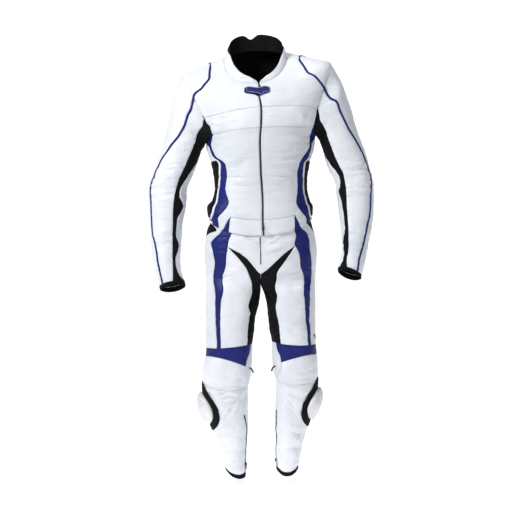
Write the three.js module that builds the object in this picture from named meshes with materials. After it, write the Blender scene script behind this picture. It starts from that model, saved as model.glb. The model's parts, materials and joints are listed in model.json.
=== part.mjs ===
// A two-piece motorcycle race suit in white, blue and black leather, zipped together at the waist
// and standing in the shape that its wearer gives it, hollow, with nobody inside.
// Millimetres, +Z up. The origin is the middle of the neck, where the wearer carries the suit.
// The wearer faces -Y, so their left is +X and their right is -X.
import * as THREE from "three";

// Leather and seams
const LEATHER = 2.2; // wall of the leather and stretch panels
const SEAM = 0.36; // gap that a seam leaves between two panels
const LAID = 0.5; // gap under whatever lies on the panels
const ZIP_WALL = 1.6;
const ZIP_SUNK = 0.4; // the front zip lies this far under the leather's face
const ZIP_HALF_WIDTH = 2.7;
const PIPING = { width: 5.5, height: 1.8, lift: 0.8 };
const BAR_TOP = 0.6; // the top of piping and zips, as a share of their width
const CALF_ZIP = { width: 6, height: 1.8 };
const FLY_ZIP = { width: 5, height: 1.6 };
const COLLAR_LINING = 1.6;
const LINING_GAP = 1;
const SAME_POINT = 0.005; // two panels share a point when theirs are this close

// The shapes below are the front view as seen from VIEW_DISTANCE, level with AXIS
const VIEW_DISTANCE = 4600;
const AXIS = { x: -20, z: -627 };
const FULLNESS = 2.3; // 2 is an ellipse, more is squarer

// Colours and finishes
const WHITE = { color: 0xe9ecf0, roughness: 0.5, metalness: 0 };
const PERFORATED = { color: 0xdfe3e7, roughness: 0.6, metalness: 0 };
const BLUE = { color: 0x1f2a78, roughness: 0.45, metalness: 0 };
const BLACK = { color: 0x17181a, roughness: 0.75, metalness: 0 };
const LINING = { color: 0x101113, roughness: 0.9, metalness: 0 };
const ZIP = { color: 0x4b4e53, roughness: 0.4, metalness: 0.5 };
const SLIDER = { color: 0xeceded, roughness: 0.35, metalness: 0 };

const RIGHT = -1; // the wearer's right, at -X
const LEFT = 1;
const SIDES = [
  { side: RIGHT, name: "right" },
  { side: LEFT, name: "left" },
];

function table(columns, lines) {
  const names = columns.split(" ");
  return lines.map((line) =>
    Object.fromEntries(names.map((name, i) => [name, line[i]])),
  );
}

// A ring is the suit cut level: its two edges in the front view (a and b), how high its front and
// back hang (zf, zb), how far it reaches forward, back and at the sides (yf, yb, ys), and how its
// front swings between edge and middle (bend: 1 is a flat tilt, 2 a round sag).
const RING = "ax az bx bz zf zb yf yb ys bend";

const JACKET_RINGS = table(RING, [
  [-129, 20, 82, 30, -56, 53, -62, 58, 5, 1.2],
  [-172, 7, 125, 30, -66, 43, -80, 78, 8, 1.5],
  [-221, -15, 178, 21, -76, 26, -90, 92, 8, 2],
  [-265, -36, 228, 7, -89, 0, -98, 103, 5, 2],
  [-254, -94, 233, -62, -112, -59, -108, 112, 0, 2],
  [-218, -185, 210, -147, -135, -132, -116, 118, 0, 2],
  [-205, -213, 202, -182, -168, -182, -119, 118, 0, 2],
  [-195, -234, 191, -210, -203, -224, -120, 116, 0, 2],
  [-185, -252, 178, -234, -224, -251, -119, 114, 0, 2],
  [-183, -277, 173, -267, -254, -280, -117, 110, 0, 2],
  [-170, -317, 160, -314, -300, -320, -112, 104, 0, 2],
  [-161, -363, 151, -363, -353, -363, -106, 98, 0, 2],
  [-157, -403, 150, -403, -399, -403, -104, 95, 0, 2],
  [-165, -442, 158, -442, -452, -442, -108, 99, 0, 2],
  [-182, -465, 168, -462, -508, -475, -113, 107, 0, 2],
  [-177, -515, 167, -508, -560, -521, -115, 114, 0, 2],
]);

// Where the jacket's seams start and end, as rings counted from the neck
const JACKET = {
  neck: 0,
  epaulette: 1,
  shoulder: 3,
  piping: 4,
  chest: 5,
  belly: 7,
  armpit: 8,
  stretch: 10,
  band: 14,
  stretchEnd: 14.75,
  hem: 15,
};
const SIDE_SEAM = 115; // degrees round from the front
const SHOULDER_PIPING = 78;
const STRIPE_TIP = 2; // degrees that the side stripe is wide where it starts
const SIDE_WHITE = 5; // degrees of white leather between the side stripe and the stretch panel

const TROUSER_RINGS = table(RING, [
  [-172, -498, 162, -492, -541, -505, -108, 107, 0, 2],
  [-171, -516, 161, -510, -561, -525, -109, 109, 0, 2],
  [-181, -538, 168, -535, -581, -544, -110, 112, 0, 2],
  [-186, -568, 176, -564, -606, -574, -112, 116, 0, 2],
  [-190, -607, 181, -607, -637, -610, -111, 120, 0, 2],
  [-188, -647, 179, -647, -672, -657, -105, 121, 0, 2],
  [-185, -690, 176, -690, -703, -710, -97, 114, 0, 2],
]);
const CROTCH_Z = -724;

// Leg rings go on from the trouser rings: a is the outer edge and b the inner one
const LEG_RINGS = {
  [RIGHT]: table(RING, [
    [-185, -736, -5, -746, -744, -742, -97, 104, 4, 2],
    [-185, -779, -10, -785, -787, -785, -95, 98, 4, 2],
    [-185, -825, -21, -828, -832, -828, -93, 94, 3, 2],
    [-186, -878, -26, -878, -883, -878, -91, 90, 2, 2],
    [-185, -930, -31, -916, -930, -924, -90, 84, 0, 2],
    [-187, -957, -35, -1000, -972, -970, -90, 78, -3, 2],
    [-195, -1006, -38, -1026, -1026, -1010, -87, 74, -6, 2],
    [-196, -1049, -44, -1056, -1072, -1049, -82, 72, -8, 2],
    [-193, -1099, -46, -1102, -1115, -1099, -76, 74, -6, 2],
    [-182, -1148, -46, -1148, -1158, -1148, -70, 78, -2, 2],
    [-165, -1195, -45, -1195, -1204, -1195, -66, 78, 2, 2],
    [-149, -1241, -49, -1241, -1254, -1241, -62, 72, 2, 2],
    [-135, -1287, -50, -1290, -1307, -1287, -59, 64, 0, 2],
    [-122, -1333, -53, -1355, -1361, -1333, -56, 56, -2, 2],
  ]),
  [LEFT]: table(RING, [
    [175, -736, 5, -746, -744, -742, -97, 104, 4, 2],
    [176, -779, 15, -785, -787, -785, -95, 98, 4, 2],
    [176, -825, 19, -828, -832, -828, -93, 94, 3, 2],
    [177, -871, 24, -874, -878, -874, -91, 90, 2, 2],
    [178, -917, 31, -908, -922, -917, -90, 84, 0, 2],
    [181, -950, 34, -990, -965, -960, -90, 78, -3, 2],
    [183, -993, 38, -1013, -1013, -997, -87, 74, -6, 2],
    [183, -1033, 44, -1036, -1053, -1033, -82, 72, -8, 2],
    [179, -1082, 44, -1082, -1099, -1082, -76, 74, -6, 2],
    [168, -1132, 42, -1132, -1143, -1132, -70, 78, -2, 2],
    [153, -1181, 41, -1181, -1193, -1181, -66, 78, 2, 2],
    [139, -1231, 44, -1229, -1244, -1231, -62, 72, 2, 2],
    [128, -1280, 44, -1280, -1299, -1280, -59, 64, 0, 2],
    [120, -1329, 46, -1329, -1355, -1323, -56, 56, -2, 2],
  ]),
};

// Where the trousers' seams start and end, as rings counted from the waist
const LEG = {
  waist: 0,
  flyTop: 1.5,
  hip: 3,
  flyBottom: 4.5,
  flyEnd: 5.5,
  crotch: 6,
  band: 11,
  knee: 12,
  shin: 14,
  calfZip: 16,
  binding: 19.75,
  hem: 20,
};
const CENTRE_FRONT = 60; // degrees round a leg at which the two legs join, front and back
const CENTRE_BACK = -240;
const CENTRE_BLEND = 20; // degrees past a centre seam over which the legs take their own shapes
const INSEAM = 115;
const OUTSEAM = -100;

// Sleeve rings are level but for their tip: how far the front stands over the middle, and the back
// hangs under it
const SLEEVE_RINGS = {
  [RIGHT]: table("ax az bx bz yf yb ys tip", [
    [-288, -92, -191, -269, -67, 72, 4, 0],
    [-300, -139, -200, -284, -66, 70, 4, 0],
    [-309, -185, -208, -307, -65, 68, 4, 0],
    [-320, -231, -218, -333, -64, 68, 4, 0],
    [-334, -280, -228, -360, -63, 68, 4, 0],
    [-350, -323, -239, -384, -62, 68, 4, 0],
    [-367, -370, -248, -408, -61, 67, 4, 0],
    [-378, -409, -248, -431, -62, 65, 2, 0],
    [-375, -455, -251, -464, -65, 60, 0, 0],
    [-371, -502, -259, -503, -70, 51, -8, 0],
    [-369, -548, -264, -546, -76, 41, -17, 2],
    [-365, -594, -266, -589, -83, 30, -27, 4],
    [-360, -640, -269, -634, -90, 18, -37, 6],
    [-348, -685, -266, -680, -96, 4, -47, 8],
    [-341, -726, -253, -712, -102, -8, -56, 10],
    [-338, -740, -252, -729, -103, -11, -58, 12],
  ]),
  [LEFT]: table("ax az bx bz yf yb ys tip", [
    [262, -53, 189, -248, -67, 72, 4, 0],
    [280, -102, 196, -267, -66, 70, 4, 0],
    [297, -152, 203, -290, -65, 68, 4, 0],
    [309, -198, 210, -315, -64, 68, 4, 0],
    [326, -244, 220, -342, -63, 68, 4, 0],
    [343, -290, 234, -368, -62, 68, 4, 0],
    [356, -337, 242, -393, -61, 67, 4, 0],
    [368, -383, 244, -417, -62, 65, 2, 0],
    [369, -429, 248, -450, -65, 60, 0, 0],
    [368, -475, 253, -483, -70, 51, -8, 0],
    [364, -521, 257, -521, -76, 41, -17, 2],
    [355, -568, 261, -564, -83, 30, -27, 4],
    [347, -610, 263, -604, -90, 18, -37, 6],
    [339, -652, 257, -640, -96, 4, -47, 8],
    [330, -688, 249, -664, -102, -8, -56, 11],
    [329, -702, 249, -680, -103, -11, -58, 14],
  ]),
};
const SLEEVE = { armhole: 0, cuff: 15, end: 16 };
const SLEEVE_SEAMS = { piping: -54, stretch: -18, back: 126 }; // degrees round the armhole

// The collar leans in from the neck ring to this ring; the leather is lower than the lining behind
const COLLAR_TOP = table(RING, [[-109, 73, 69, 73, -36, 104, -58, 54, 0, 1.1]])[0];
const COLLAR = { sideHeight: 0.66, peak: 66, slope: 24 };
const COLLAR_DIP = { x: -38, width: 16, depth: 16 }; // the dent in the back's top edge

// Seams as points [x, z] of the front view, from the top down
const SEAMS = {
  zip: [[-11, -56], [-10, -96], [-6, -230], [-1, -392], [5, -554]],
  armholeFront: {
    [RIGHT]: [
      [-248, -66], [-230, -97], [-211, -135], [-191, -175], [-173, -201], [-167, -221],
      [-172, -238],
    ],
    [LEFT]: [
      [221, -26], [210, -63], [195, -102], [182, -145], [176, -178], [171, -205], [173, -221],
    ],
  },
  armholeBack: {
    [RIGHT]: [[-238, -96], [-218, -145], [-201, -195]],
    [LEFT]: [[211, -62], [195, -110], [186, -165]],
  },
  bodyPiping: {
    [RIGHT]: [[-164, -16], [-174, -43], [-198, -73]],
    [LEFT]: [[141, -6], [158, -26], [185, -46]],
  },
  stripeInner: {
    [RIGHT]: [
      [-170, -261], [-155, -297], [-125, -323], [-117, -350], [-122, -403], [-112, -455],
      [-130, -482], [-147, -508],
    ],
    [LEFT]: [
      [157, -267], [140, -297], [124, -323], [119, -356], [119, -403], [114, -449],
      [132, -482], [148, -508],
    ],
  },
  stripeOuter: {
    [RIGHT]: [
      [-177, -267], [-165, -297], [-139, -323], [-139, -363], [-144, -416], [-160, -482],
      [-167, -508],
    ],
    [LEFT]: [
      [166, -258], [157, -297], [139, -323], [137, -376], [140, -429], [155, -482],
      [160, -508],
    ],
  },
  wedgeInner: {
    [RIGHT]: [[-102, -492], [-112, -538]],
    [LEFT]: [[108, -490], [109, -531]],
  },
  wedgeOuter: {
    [RIGHT]: [[-103, -492], [-131, -535]],
    [LEFT]: [[109, -490], [129, -528]],
  },
  sleevePiping: {
    [RIGHT]: [
      [-231, -129], [-240, -153], [-250, -178], [-264, -211], [-279, -236], [-313, -280],
      [-343, -329], [-363, -380], [-367, -442], [-365, -495], [-360, -561], [-348, -614],
      [-340, -667], [-325, -726],
    ],
    [LEFT]: [
      [237, -112], [259, -153], [282, -201], [299, -228], [333, -289], [355, -349],
      [360, -409], [356, -482], [346, -535], [335, -587], [320, -640], [310, -686],
    ],
  },
  stretchOuter: {
    [RIGHT]: [
      [-200, -203], [-218, -244], [-239, -297], [-262, -350], [-282, -403], [-292, -462],
      [-294, -541], [-294, -640], [-294, -719],
    ],
    [LEFT]: [
      [193, -182], [209, -215], [219, -244], [239, -297], [264, -350], [276, -403],
      [280, -482], [284, -541], [280, -627], [280, -667],
    ],
  },
  stretchInner: {
    [RIGHT]: [
      [-260, -389], [-271, -429], [-259, -465], [-279, -508], [-282, -561], [-272, -594],
      [-285, -640], [-269, -693], [-256, -719],
    ],
    [LEFT]: [
      [256, -376], [252, -416], [262, -455], [272, -535], [266, -587], [267, -634],
      [257, -667],
    ],
  },
  hipPanel: {
    [RIGHT]: [[-165, -520], [-151, -541], [-182, -576]],
    [LEFT]: [[150, -516], [163, -535], [173, -571]],
  },
  thighStripeOuter: {
    [RIGHT]: [
      [-131, -535], [-140, -552], [-159, -569], [-170, -586], [-164, -613], [-157, -650],
      [-160, -719], [-155, -832], [-150, -920],
    ],
    [LEFT]: [
      [129, -528], [153, -558], [160, -607], [165, -650], [162, -719], [158, -832],
      [163, -910],
    ],
  },
  thighStripeInner: {
    [RIGHT]: [
      [-100, -548], [-111, -574], [-117, -614], [-122, -667], [-130, -719], [-137, -785],
      [-139, -845], [-137, -920],
    ],
    [LEFT]: [
      [107, -531], [113, -558], [109, -587], [122, -614], [130, -667], [139, -733],
      [144, -812], [153, -912],
    ],
  },
  innerThigh: {
    [RIGHT]: [
      [-81, -632], [-50, -673], [-34, -717], [-32, -736], [-43, -790], [-38, -821],
      [-46, -878], [-47, -914],
    ],
    [LEFT]: [
      [80, -639], [49, -689], [43, -723], [48, -757], [44, -797], [56, -868], [60, -912],
    ],
  },
  fly: {
    [RIGHT]: [[-70, -620], [-40, -648]],
    [LEFT]: [[72, -622], [42, -650]],
  },
  kneeInner: {
    [RIGHT]: [[-37, -925], [-39, -943], [-48, -970], [-54, -998]],
    [LEFT]: [[44, -912], [48, -935], [59, -960], [63, -985]],
  },
  calfZip: {
    [RIGHT]: [
      [-46, -1062], [-55, -1110], [-58, -1150], [-49, -1206], [-52, -1273], [-56, -1338],
    ],
    [LEFT]: [[47, -1040], [47, -1110], [46, -1180], [46, -1234], [46, -1280], [48, -1320]],
  },
};

// The largest folds of the front, each a ridge (or a hollow, if high is negative) between two
// points of the front view
const FOLDS = table("x0 z0 x1 z1 wide high", [
  [-135, -160, -160, -205, 16, 3],
  [115, -140, 150, -180, 16, 3],
  [-112, -320, -52, -285, 18, 3.5],
  [-106, -366, -60, -327, 16, -3],
  [100, -345, 60, -315, 16, 2.5],
  [-343, -366, -290, -356, 15, 4],
  [-340, -396, -285, -392, 14, -3],
  [277, -353, 337, -366, 15, 4],
  [284, -384, 343, -353, 14, -3],
  [-350, -560, -300, -540, 16, 2.5],
  [290, -540, 345, -560, 16, 2.5],
  [-96, -571, -20, -584, 13, 3.5],
  [-86, -600, -13, -607, 13, -3],
  [26, -607, 92, -574, 13, 3.5],
  [-119, -690, -79, -673, 15, 3],
  [53, -686, 119, -653, 15, 3],
  [-132, -838, -99, -865, 16, 3],
  [79, -838, 132, -871, 16, 3],
  [-152, -1066, -99, -1079, 12, 4],
  [-150, -1092, -92, -1100, 12, -3],
  [66, -1056, 125, -1066, 12, 4],
  [-145, -1224, -86, -1228, 13, 4],
  [-139, -1274, -92, -1280, 12, 3],
  [59, -1244, 112, -1234, 13, 4],
  [59, -1280, 106, -1287, 12, 3],
]);

// The neck tab: a strap over the top of the zip that ends in an arrow
const TAB_COLUMNS = table("x top bottom", [
  [-53, -72, -86],
  [-46, -69, -89],
  [-30, -70, -91],
  [-14, -72, -93],
  [-5, -71, -98],
  [0, -69, -95],
  [8, -67, -91],
  [18, -68, -89],
  [26, -72, -84],
]);
const TAB = { height: 2.6, lift: 1.1 };

// The knee sliders: a black pad on the outside of each knee, and a white puck on the pad.
// Their outlines are measured round the leg in degrees and down it in rings.
const SLIDER_PAD = table("level from to", [
  [13.8, -98, -86],
  [14, -118, -70],
  [14.45, -138, -46],
  [14.95, -146, -28],
  [15.5, -150, -19],
  [16, -148, -19],
  [16.4, -142, -25],
  [16.8, -130, -41],
  [17.1, -112, -66],
]);
const PUCK = {
  level: 15.6,
  levels: 1.08,
  angle: -91,
  angles: 54,
  tilt: 5,
  height: 20,
  lean: 0.3, // how much higher the top of the puck is than its middle, as a share
  rim: 5,
  gap: 0.75,
  rows: 15,
  columns: 12,
};
const PAD = { height: 2, lift: 1.3, rows: 16, columns: 12 };

// How a seam's points are looked for on the wall: tries across the range, then closer rounds
const PIN_TRIES = 24;
const PIN_ROUNDS = 40;
const NEIGHBOURS = [[1, 0], [-1, 0], [0, 1], [0, -1], [1, 1], [-1, -1], [1, -1], [-1, 1]];

const degrees = THREE.MathUtils.degToRad;
const lerp = THREE.MathUtils.lerp;

function squared(value) {
  return Math.sign(value) * Math.abs(value) ** (2 / FULLNESS);
}

// A point of a ring: -90 is edge a, 0 the front, 90 edge b and 180 the back
function ringPoint(ring, angle) {
  const { ax, az, bx, bz, yf, yb, ys, tip = 0, bend = 2 } = ring;
  const middle = (az + bz) / 2;
  const { zf = middle + tip, zb = middle - tip } = ring;
  const forward = squared(Math.cos(degrees(angle)));
  const share = (1 + squared(Math.sin(degrees(angle)))) / 2;
  const reach = Math.abs(forward);
  const inFront = forward >= 0;
  return {
    x: lerp(ax, bx, share),
    y: lerp(ys, inFront ? yf : yb, reach),
    z: lerp(az, bz, share) + ((inFront ? zf : zb) - middle) * reach ** bend,
    forward,
  };
}

// How far the folds lift the front at a point of the front view
function foldHeight(x, z) {
  return FOLDS.reduce((sum, { x0, z0, x1, z1, wide, high }) => {
    const [dx, dz] = [x1 - x0, z1 - z0];
    const along = THREE.MathUtils.clamp(((x - x0) * dx + (z - z0) * dz) / (dx * dx + dz * dz), 0, 1);
    const off = Math.hypot(x - x0 - along * dx, z - z0 - along * dz) / wide;
    return off > 3 ? sum : sum + high * Math.exp(-off * off);
  }, 0);
}

function inSpace({ x, y, z }) {
  const scale = 1 + y / VIEW_DISTANCE;
  return new THREE.Vector3(
    lerp(AXIS.x, x, scale),
    y,
    lerp(AXIS.z, z, scale),
  );
}

function mix(p, q, share) {
  return {
    x: lerp(p.x, q.x, share),
    y: lerp(p.y, q.y, share),
    z: lerp(p.z, q.z, share),
    forward: lerp(p.forward, q.forward, share),
  };
}

// A smooth curve through knots [place, value] that never swings past them
function smooth(knots) {
  const slopes = knots.slice(1).map(([v, a], i) => (a - knots[i][1]) / (v - knots[i][0]));
  const tangents = knots.map((_, i) => {
    if (i === 0 || i === knots.length - 1) return slopes[Math.max(i - 1, 0)];
    const [before, after] = [slopes[i - 1], slopes[i]];
    return before * after <= 0 ? 0 : (2 * before * after) / (before + after);
  });
  return (place) => {
    let i = 0;
    while (i < knots.length - 2 && place > knots[i + 1][0]) i += 1;
    const [v0, a0] = knots[i];
    const [v1, a1] = knots[i + 1];
    const width = v1 - v0;
    const t = THREE.MathUtils.clamp((place - v0) / width, 0, 1);
    const t2 = t * t;
    const t3 = t2 * t;
    return (
      a0 * (2 * t3 - 3 * t2 + 1) +
      a1 * (3 * t2 - 2 * t3) +
      width * (tangents[i] * (t3 - 2 * t2 + t) + tangents[i + 1] * (t3 - t2))
    );
  };
}

// A tube of the suit: rings from the top down with a smooth wall through them.
// Levels are the heights at which the wall gets a row of points, step the angle between columns.
class Tube {
  constructor({ rings, levels, step, turn }) {
    Object.assign(this, { rings, levels, step, turn, seams: [] });
  }

  ring(index, angle) {
    return index < 0 || index >= this.rings.length ? null : this.rings[index](angle);
  }

  // How far the rings beyond a level shape the wall before it: none where two tubes share a seam
  reach() {
    return 1;
  }

  // A point of the wall without its folds
  smoothPoint(angle, level) {
    const i = Math.min(Math.floor(level), this.rings.length - 2);
    const t = level - i;
    const p1 = this.ring(i, angle);
    const p2 = this.ring(i + 1, angle);
    if (t === 0 || !p1) return p1;
    if (!p2) return null;
    const p0 = this.ring(i - 1, angle) ?? mix(p1, p2, -1);
    const ahead = mix(p2, p1, -1);
    const p3 = mix(ahead, this.ring(i + 2, angle) ?? ahead, this.reach(angle, i + 1));
    const curve = (a, b, c, d) =>
      b + 0.5 * t * (c - a + t * (2 * a - 5 * b + 4 * c - d + t * (3 * (b - c) + d - a)));
    return {
      x: curve(p0.x, p1.x, p2.x, p3.x),
      y: curve(p0.y, p1.y, p2.y, p3.y),
      z: curve(p0.z, p1.z, p2.z, p3.z),
      forward: curve(p0.forward, p1.forward, p2.forward, p3.forward),
    };
  }

  drawn(angle, level) {
    const p = this.smoothPoint(angle, level);
    if (!p) return null;
    const inFront = THREE.MathUtils.smoothstep(p.forward, 0.1, 0.5);
    return inFront > 0 ? { ...p, y: p.y - inFront * foldHeight(p.x, p.z) } : p;
  }

  point(angle, level) {
    return inSpace(this.drawn(angle, level));
  }

  outward(angle, level) {
    const small = 0.02;
    const low = Math.max(level - small, this.levels[0]);
    const high = Math.min(level + small, this.levels.at(-1));
    const down = this.point(angle, high).sub(this.point(angle, low));
    const round = this.point(angle + 1, level).sub(this.point(angle - 1, level));
    return down.cross(round).multiplyScalar(this.turn).normalize();
  }

  // The angle and level whose drawn point is nearest to (x, z), between two angles and two levels
  pin(x, z, angles, levels) {
    const miss = (angle, level) => {
      const p = this.smoothPoint(angle, level);
      return p ? (p.x - x) ** 2 + (p.z - z) ** 2 : Infinity;
    };
    const inside = (value, [low, high]) => THREE.MathUtils.clamp(value, low, high);
    let best = { angle: angles[0], level: levels[0], miss: Infinity };
    const test = (angle, level) => {
      const value = miss(angle, level);
      if (value < best.miss) best = { angle, level, miss: value };
    };
    for (let i = 0; i <= PIN_TRIES; i += 1)
      for (let j = 0; j <= PIN_TRIES; j += 1)
        test(lerp(...angles, i / PIN_TRIES), lerp(...levels, j / PIN_TRIES));
    let turn = (angles[1] - angles[0]) / PIN_TRIES;
    let drop = (levels[1] - levels[0]) / PIN_TRIES;
    for (let round = 0; round < PIN_ROUNDS; round += 1) {
      const { angle, level, miss: before } = best;
      for (const [i, j] of NEIGHBOURS)
        test(inside(angle + i * turn, angles), inside(level + j * drop, levels));
      if (best.miss === before) {
        turn /= 2;
        drop /= 2;
      }
    }
    return [best.level, best.angle];
  }

  // A seam from one level to another through points of the front view
  seam(points, angles, levels, { first, last } = {}) {
    const knots = points
      .map(([x, z]) => this.pin(x, z, angles, levels))
      .filter(([level]) => level > levels[0] + 0.05 && level < levels[1] - 0.05)
      .sort((p, q) => p[0] - q[0])
      .filter(([level], i, all) => i === 0 || level - all[i - 1][0] > 0.05);
    if (first !== undefined) knots.unshift([levels[0], first]);
    if (last !== undefined) knots.push([levels[1], last]);
    return this.addSeam(smooth(knots), levels);
  }

  addSeam(at, levels) {
    this.seams.push({ at, from: levels[0], to: levels[1] });
    return at;
  }

  // Every angle that has a point at a level: the seams', and the columns that aren't next to one
  stops(level) {
    const crossings = this.seams
      .filter(({ from, to }) => level >= from && level <= to)
      .map(({ at }) => wrapped(at(level)));
    const columns = [];
    for (let angle = -180; angle < 180 - 1e-6; angle += this.step) {
      const clear = crossings.every((c) => Math.abs(wrapped(c - angle)) > this.step * 0.3);
      if (clear) columns.push(angle);
    }
    return [...crossings, ...columns];
  }
}

function wrapped(angle) {
  return ((((angle + 180) % 360) + 360) % 360) - 180;
}

// The skin holds every point of every panel once, so that panels meet at the same points
class Skin {
  constructor() {
    this.points = [];
    this.index = new Map();
    this.panels = new Map();
  }

  vertex(position) {
    const key = position.toArray().map((value) => Math.floor(value / SAME_POINT + 0.137)).join();
    if (!this.index.has(key)) {
      this.index.set(key, this.points.length);
      this.points.push({ position, normal: new THREE.Vector3() });
    }
    return this.index.get(key);
  }

  row(tube, level, left, right) {
    const inside = new Set();
    for (const stop of tube.stops(level))
      for (const turn of [-720, -360, 0, 360, 720]) {
        const angle = stop + turn;
        if (angle > left + 1e-4 && angle < right - 1e-4) inside.add(Math.round(angle * 1e5) / 1e5);
      }
    const angles = [left, ...[...inside].sort((p, q) => p - q), right];
    return angles.map((angle) => this.vertex(tube.point(angle, level)));
  }

  // A band of a panel: the wall between two levels and two seams
  band(name, tube, from, to, left, right) {
    const faces = this.panels.get(name) ?? [];
    this.panels.set(name, faces);
    const levels = tube.levels.filter((level) => level >= from && level <= to);
    const rows = levels.map((level) => this.row(tube, level, left(level), right(level)));
    for (let i = 0; i + 1 < rows.length; i += 1) this.zipper(faces, rows[i], rows[i + 1], tube.turn);
  }

  zipper(faces, upper, lower, turn) {
    const span = (p, q) => this.points[p].position.distanceTo(this.points[q].position);
    const add = (a, b, c) => {
      if (a === b || b === c || a === c) return;
      faces.push(turn > 0 ? [a, b, c] : [a, c, b]);
    };
    let i = 0;
    let j = 0;
    while (i < upper.length - 1 || j < lower.length - 1) {
      const endUpper = i === upper.length - 1;
      const endLower = j === lower.length - 1;
      const upperFirst =
        endLower || (!endUpper && span(upper[i + 1], lower[j]) <= span(upper[i], lower[j + 1]));
      if (upperFirst) {
        add(upper[i], lower[j], upper[i + 1]);
        i += 1;
      } else {
        add(upper[i], lower[j], lower[j + 1]);
        j += 1;
      }
    }
  }

  finishNormals() {
    for (const faces of this.panels.values())
      for (const face of faces) {
        const [a, b, c] = face.map((i) => this.points[i].position);
        const area = b.clone().sub(a).cross(c.clone().sub(a));
        for (const i of face) this.points[i].normal.add(area);
      }
    for (const point of this.points) point.normal.normalize();
  }

  // The solid of a panel: its wall goes in from the skin, and every edge stands back from its seam
  solid(name, wall = LEATHER, lift = 0) {
    const faces = this.panels.get(name);
    const edges = new Set(faces.flatMap(([a, b, c]) => [`${a},${b}`, `${b},${c}`, `${c},${a}`]));
    const rim = [...edges]
      .map((edge) => edge.split(",").map(Number))
      .filter(([a, b]) => !edges.has(`${b},${a}`));
    const shifts = new Map();
    for (const [a, b] of rim) {
      const along = this.points[b].position.clone().sub(this.points[a].position).normalize();
      for (const i of [a, b]) {
        const inward = this.points[i].normal.clone().cross(along).normalize();
        shifts.set(i, [...(shifts.get(i) ?? []), inward]);
      }
    }
    const ids = [...new Set(faces.flat())];
    const place = new Map(ids.map((id, i) => [id, i]));
    const outer = ids.map((id) => {
      const { position, normal } = this.points[id];
      const moved = position.clone().addScaledVector(normal, lift);
      const inward = shifts.get(id);
      if (!inward) return moved;
      const sum = inward.reduce((total, v) => total.add(v), new THREE.Vector3());
      const mitre = inward.length === 2 ? 1 + inward[0].dot(inward[1]) : sum.length();
      const shift = sum.multiplyScalar(SEAM / 2 / Math.max(mitre, 0.05));
      return moved.add(shift.clampLength(0, SEAM * 2));
    });
    const inner = outer.map((p, i) => p.clone().addScaledVector(this.points[ids[i]].normal, -wall));
    const count = ids.length;
    const solidFaces = [];
    for (const face of faces) {
      const [a, b, c] = face.map((id) => place.get(id));
      solidFaces.push([a, b, c], [a + count, c + count, b + count]);
    }
    // Both panels of a seam split its wall along the same diagonal, so that the walls stay parallel
    for (const edge of rim) {
      const [a, b] = edge.map((id) => place.get(id));
      if (edge[0] < edge[1]) solidFaces.push([b, a, a + count], [b, a + count, b + count]);
      else solidFaces.push([b, a, b + count], [a, a + count, b + count]);
    }
    return body([...outer, ...inner], solidFaces);
  }
}

function body(points, faces) {
  const cone = ([a, b, c]) => points[a].dot(points[b].clone().cross(points[c]));
  const volume = faces.reduce((sum, face) => sum + cone(face), 0);
  const outward = volume > 0 ? faces : faces.map(([a, b, c]) => [a, c, b]);
  const geometry = new THREE.BufferGeometry().setFromPoints(points);
  geometry.setIndex(outward.flat());
  geometry.computeVertexNormals();
  return geometry;
}

// A closed block over a grid of lower and upper points, rows by columns
function blockOver(lower, upper) {
  const rows = lower.length;
  const columns = lower[0].length;
  const points = [...upper.flat(), ...lower.flat()];
  const count = rows * columns;
  const at = (i, j) => i * columns + j;
  const faces = [];
  const quad = (a, b, c, d) => faces.push([a, b, c], [a, c, d]);
  for (let i = 0; i + 1 < rows; i += 1)
    for (let j = 0; j + 1 < columns; j += 1) {
      quad(at(i, j), at(i + 1, j), at(i + 1, j + 1), at(i, j + 1));
      quad(at(i, j) + count, at(i, j + 1) + count, at(i + 1, j + 1) + count, at(i + 1, j) + count);
    }
  for (let i = 0; i + 1 < rows; i += 1) {
    quad(at(i, 0), at(i, 0) + count, at(i + 1, 0) + count, at(i + 1, 0));
    const last = columns - 1;
    quad(at(i + 1, last), at(i + 1, last) + count, at(i, last) + count, at(i, last));
  }
  for (let j = 0; j + 1 < columns; j += 1) {
    quad(at(0, j + 1), at(0, j + 1) + count, at(0, j) + count, at(0, j));
    const last = rows - 1;
    quad(at(last, j), at(last, j) + count, at(last, j + 1) + count, at(last, j + 1));
  }
  return body(points, faces);
}

// A flat bar along points of the skin: piping or a zip on its seam
function barAlong(path, { width, height, lift = LAID }) {
  const lower = [];
  const upper = [];
  path.forEach(({ position, normal }, i) => {
    const before = path[Math.max(i - 1, 0)].position;
    const after = path[Math.min(i + 1, path.length - 1)].position;
    const along = after.clone().sub(before).normalize();
    const across = along.clone().cross(normal).normalize();
    const up = across.clone().cross(along).normalize();
    const spot = (side, rise) =>
      position.clone().addScaledVector(across, (side * width) / 2).addScaledVector(up, rise);
    lower.push([-1, 0, 1].map((side) => spot(side, lift)));
    upper.push([-1, 0, 1].map((side) => spot(side * BAR_TOP, lift + height)));
  });
  return blockOver(lower, upper);
}

function mesh(name, geometry, finish) {
  const made = new THREE.Mesh(geometry, new THREE.MeshStandardMaterial(finish));
  made.name = name;
  return made;
}

function steps(from, to, step) {
  const count = Math.round((to - from) / step);
  return Array.from({ length: count + 1 }, (_, i) => from + i * step);
}

const skin = new Skin();
const constant = (value) => () => value;

// The jacket's body
const jacket = new Tube({
  rings: JACKET_RINGS.map((ring) => (angle) => ringPoint(ring, angle)),
  levels: [
    ...steps(JACKET.neck, JACKET.armpit, 0.5),
    ...steps(JACKET.armpit + 1, JACKET.band, 1),
    JACKET.stretchEnd,
    JACKET.hem,
  ],
  step: 18,
  turn: 1,
});

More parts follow.
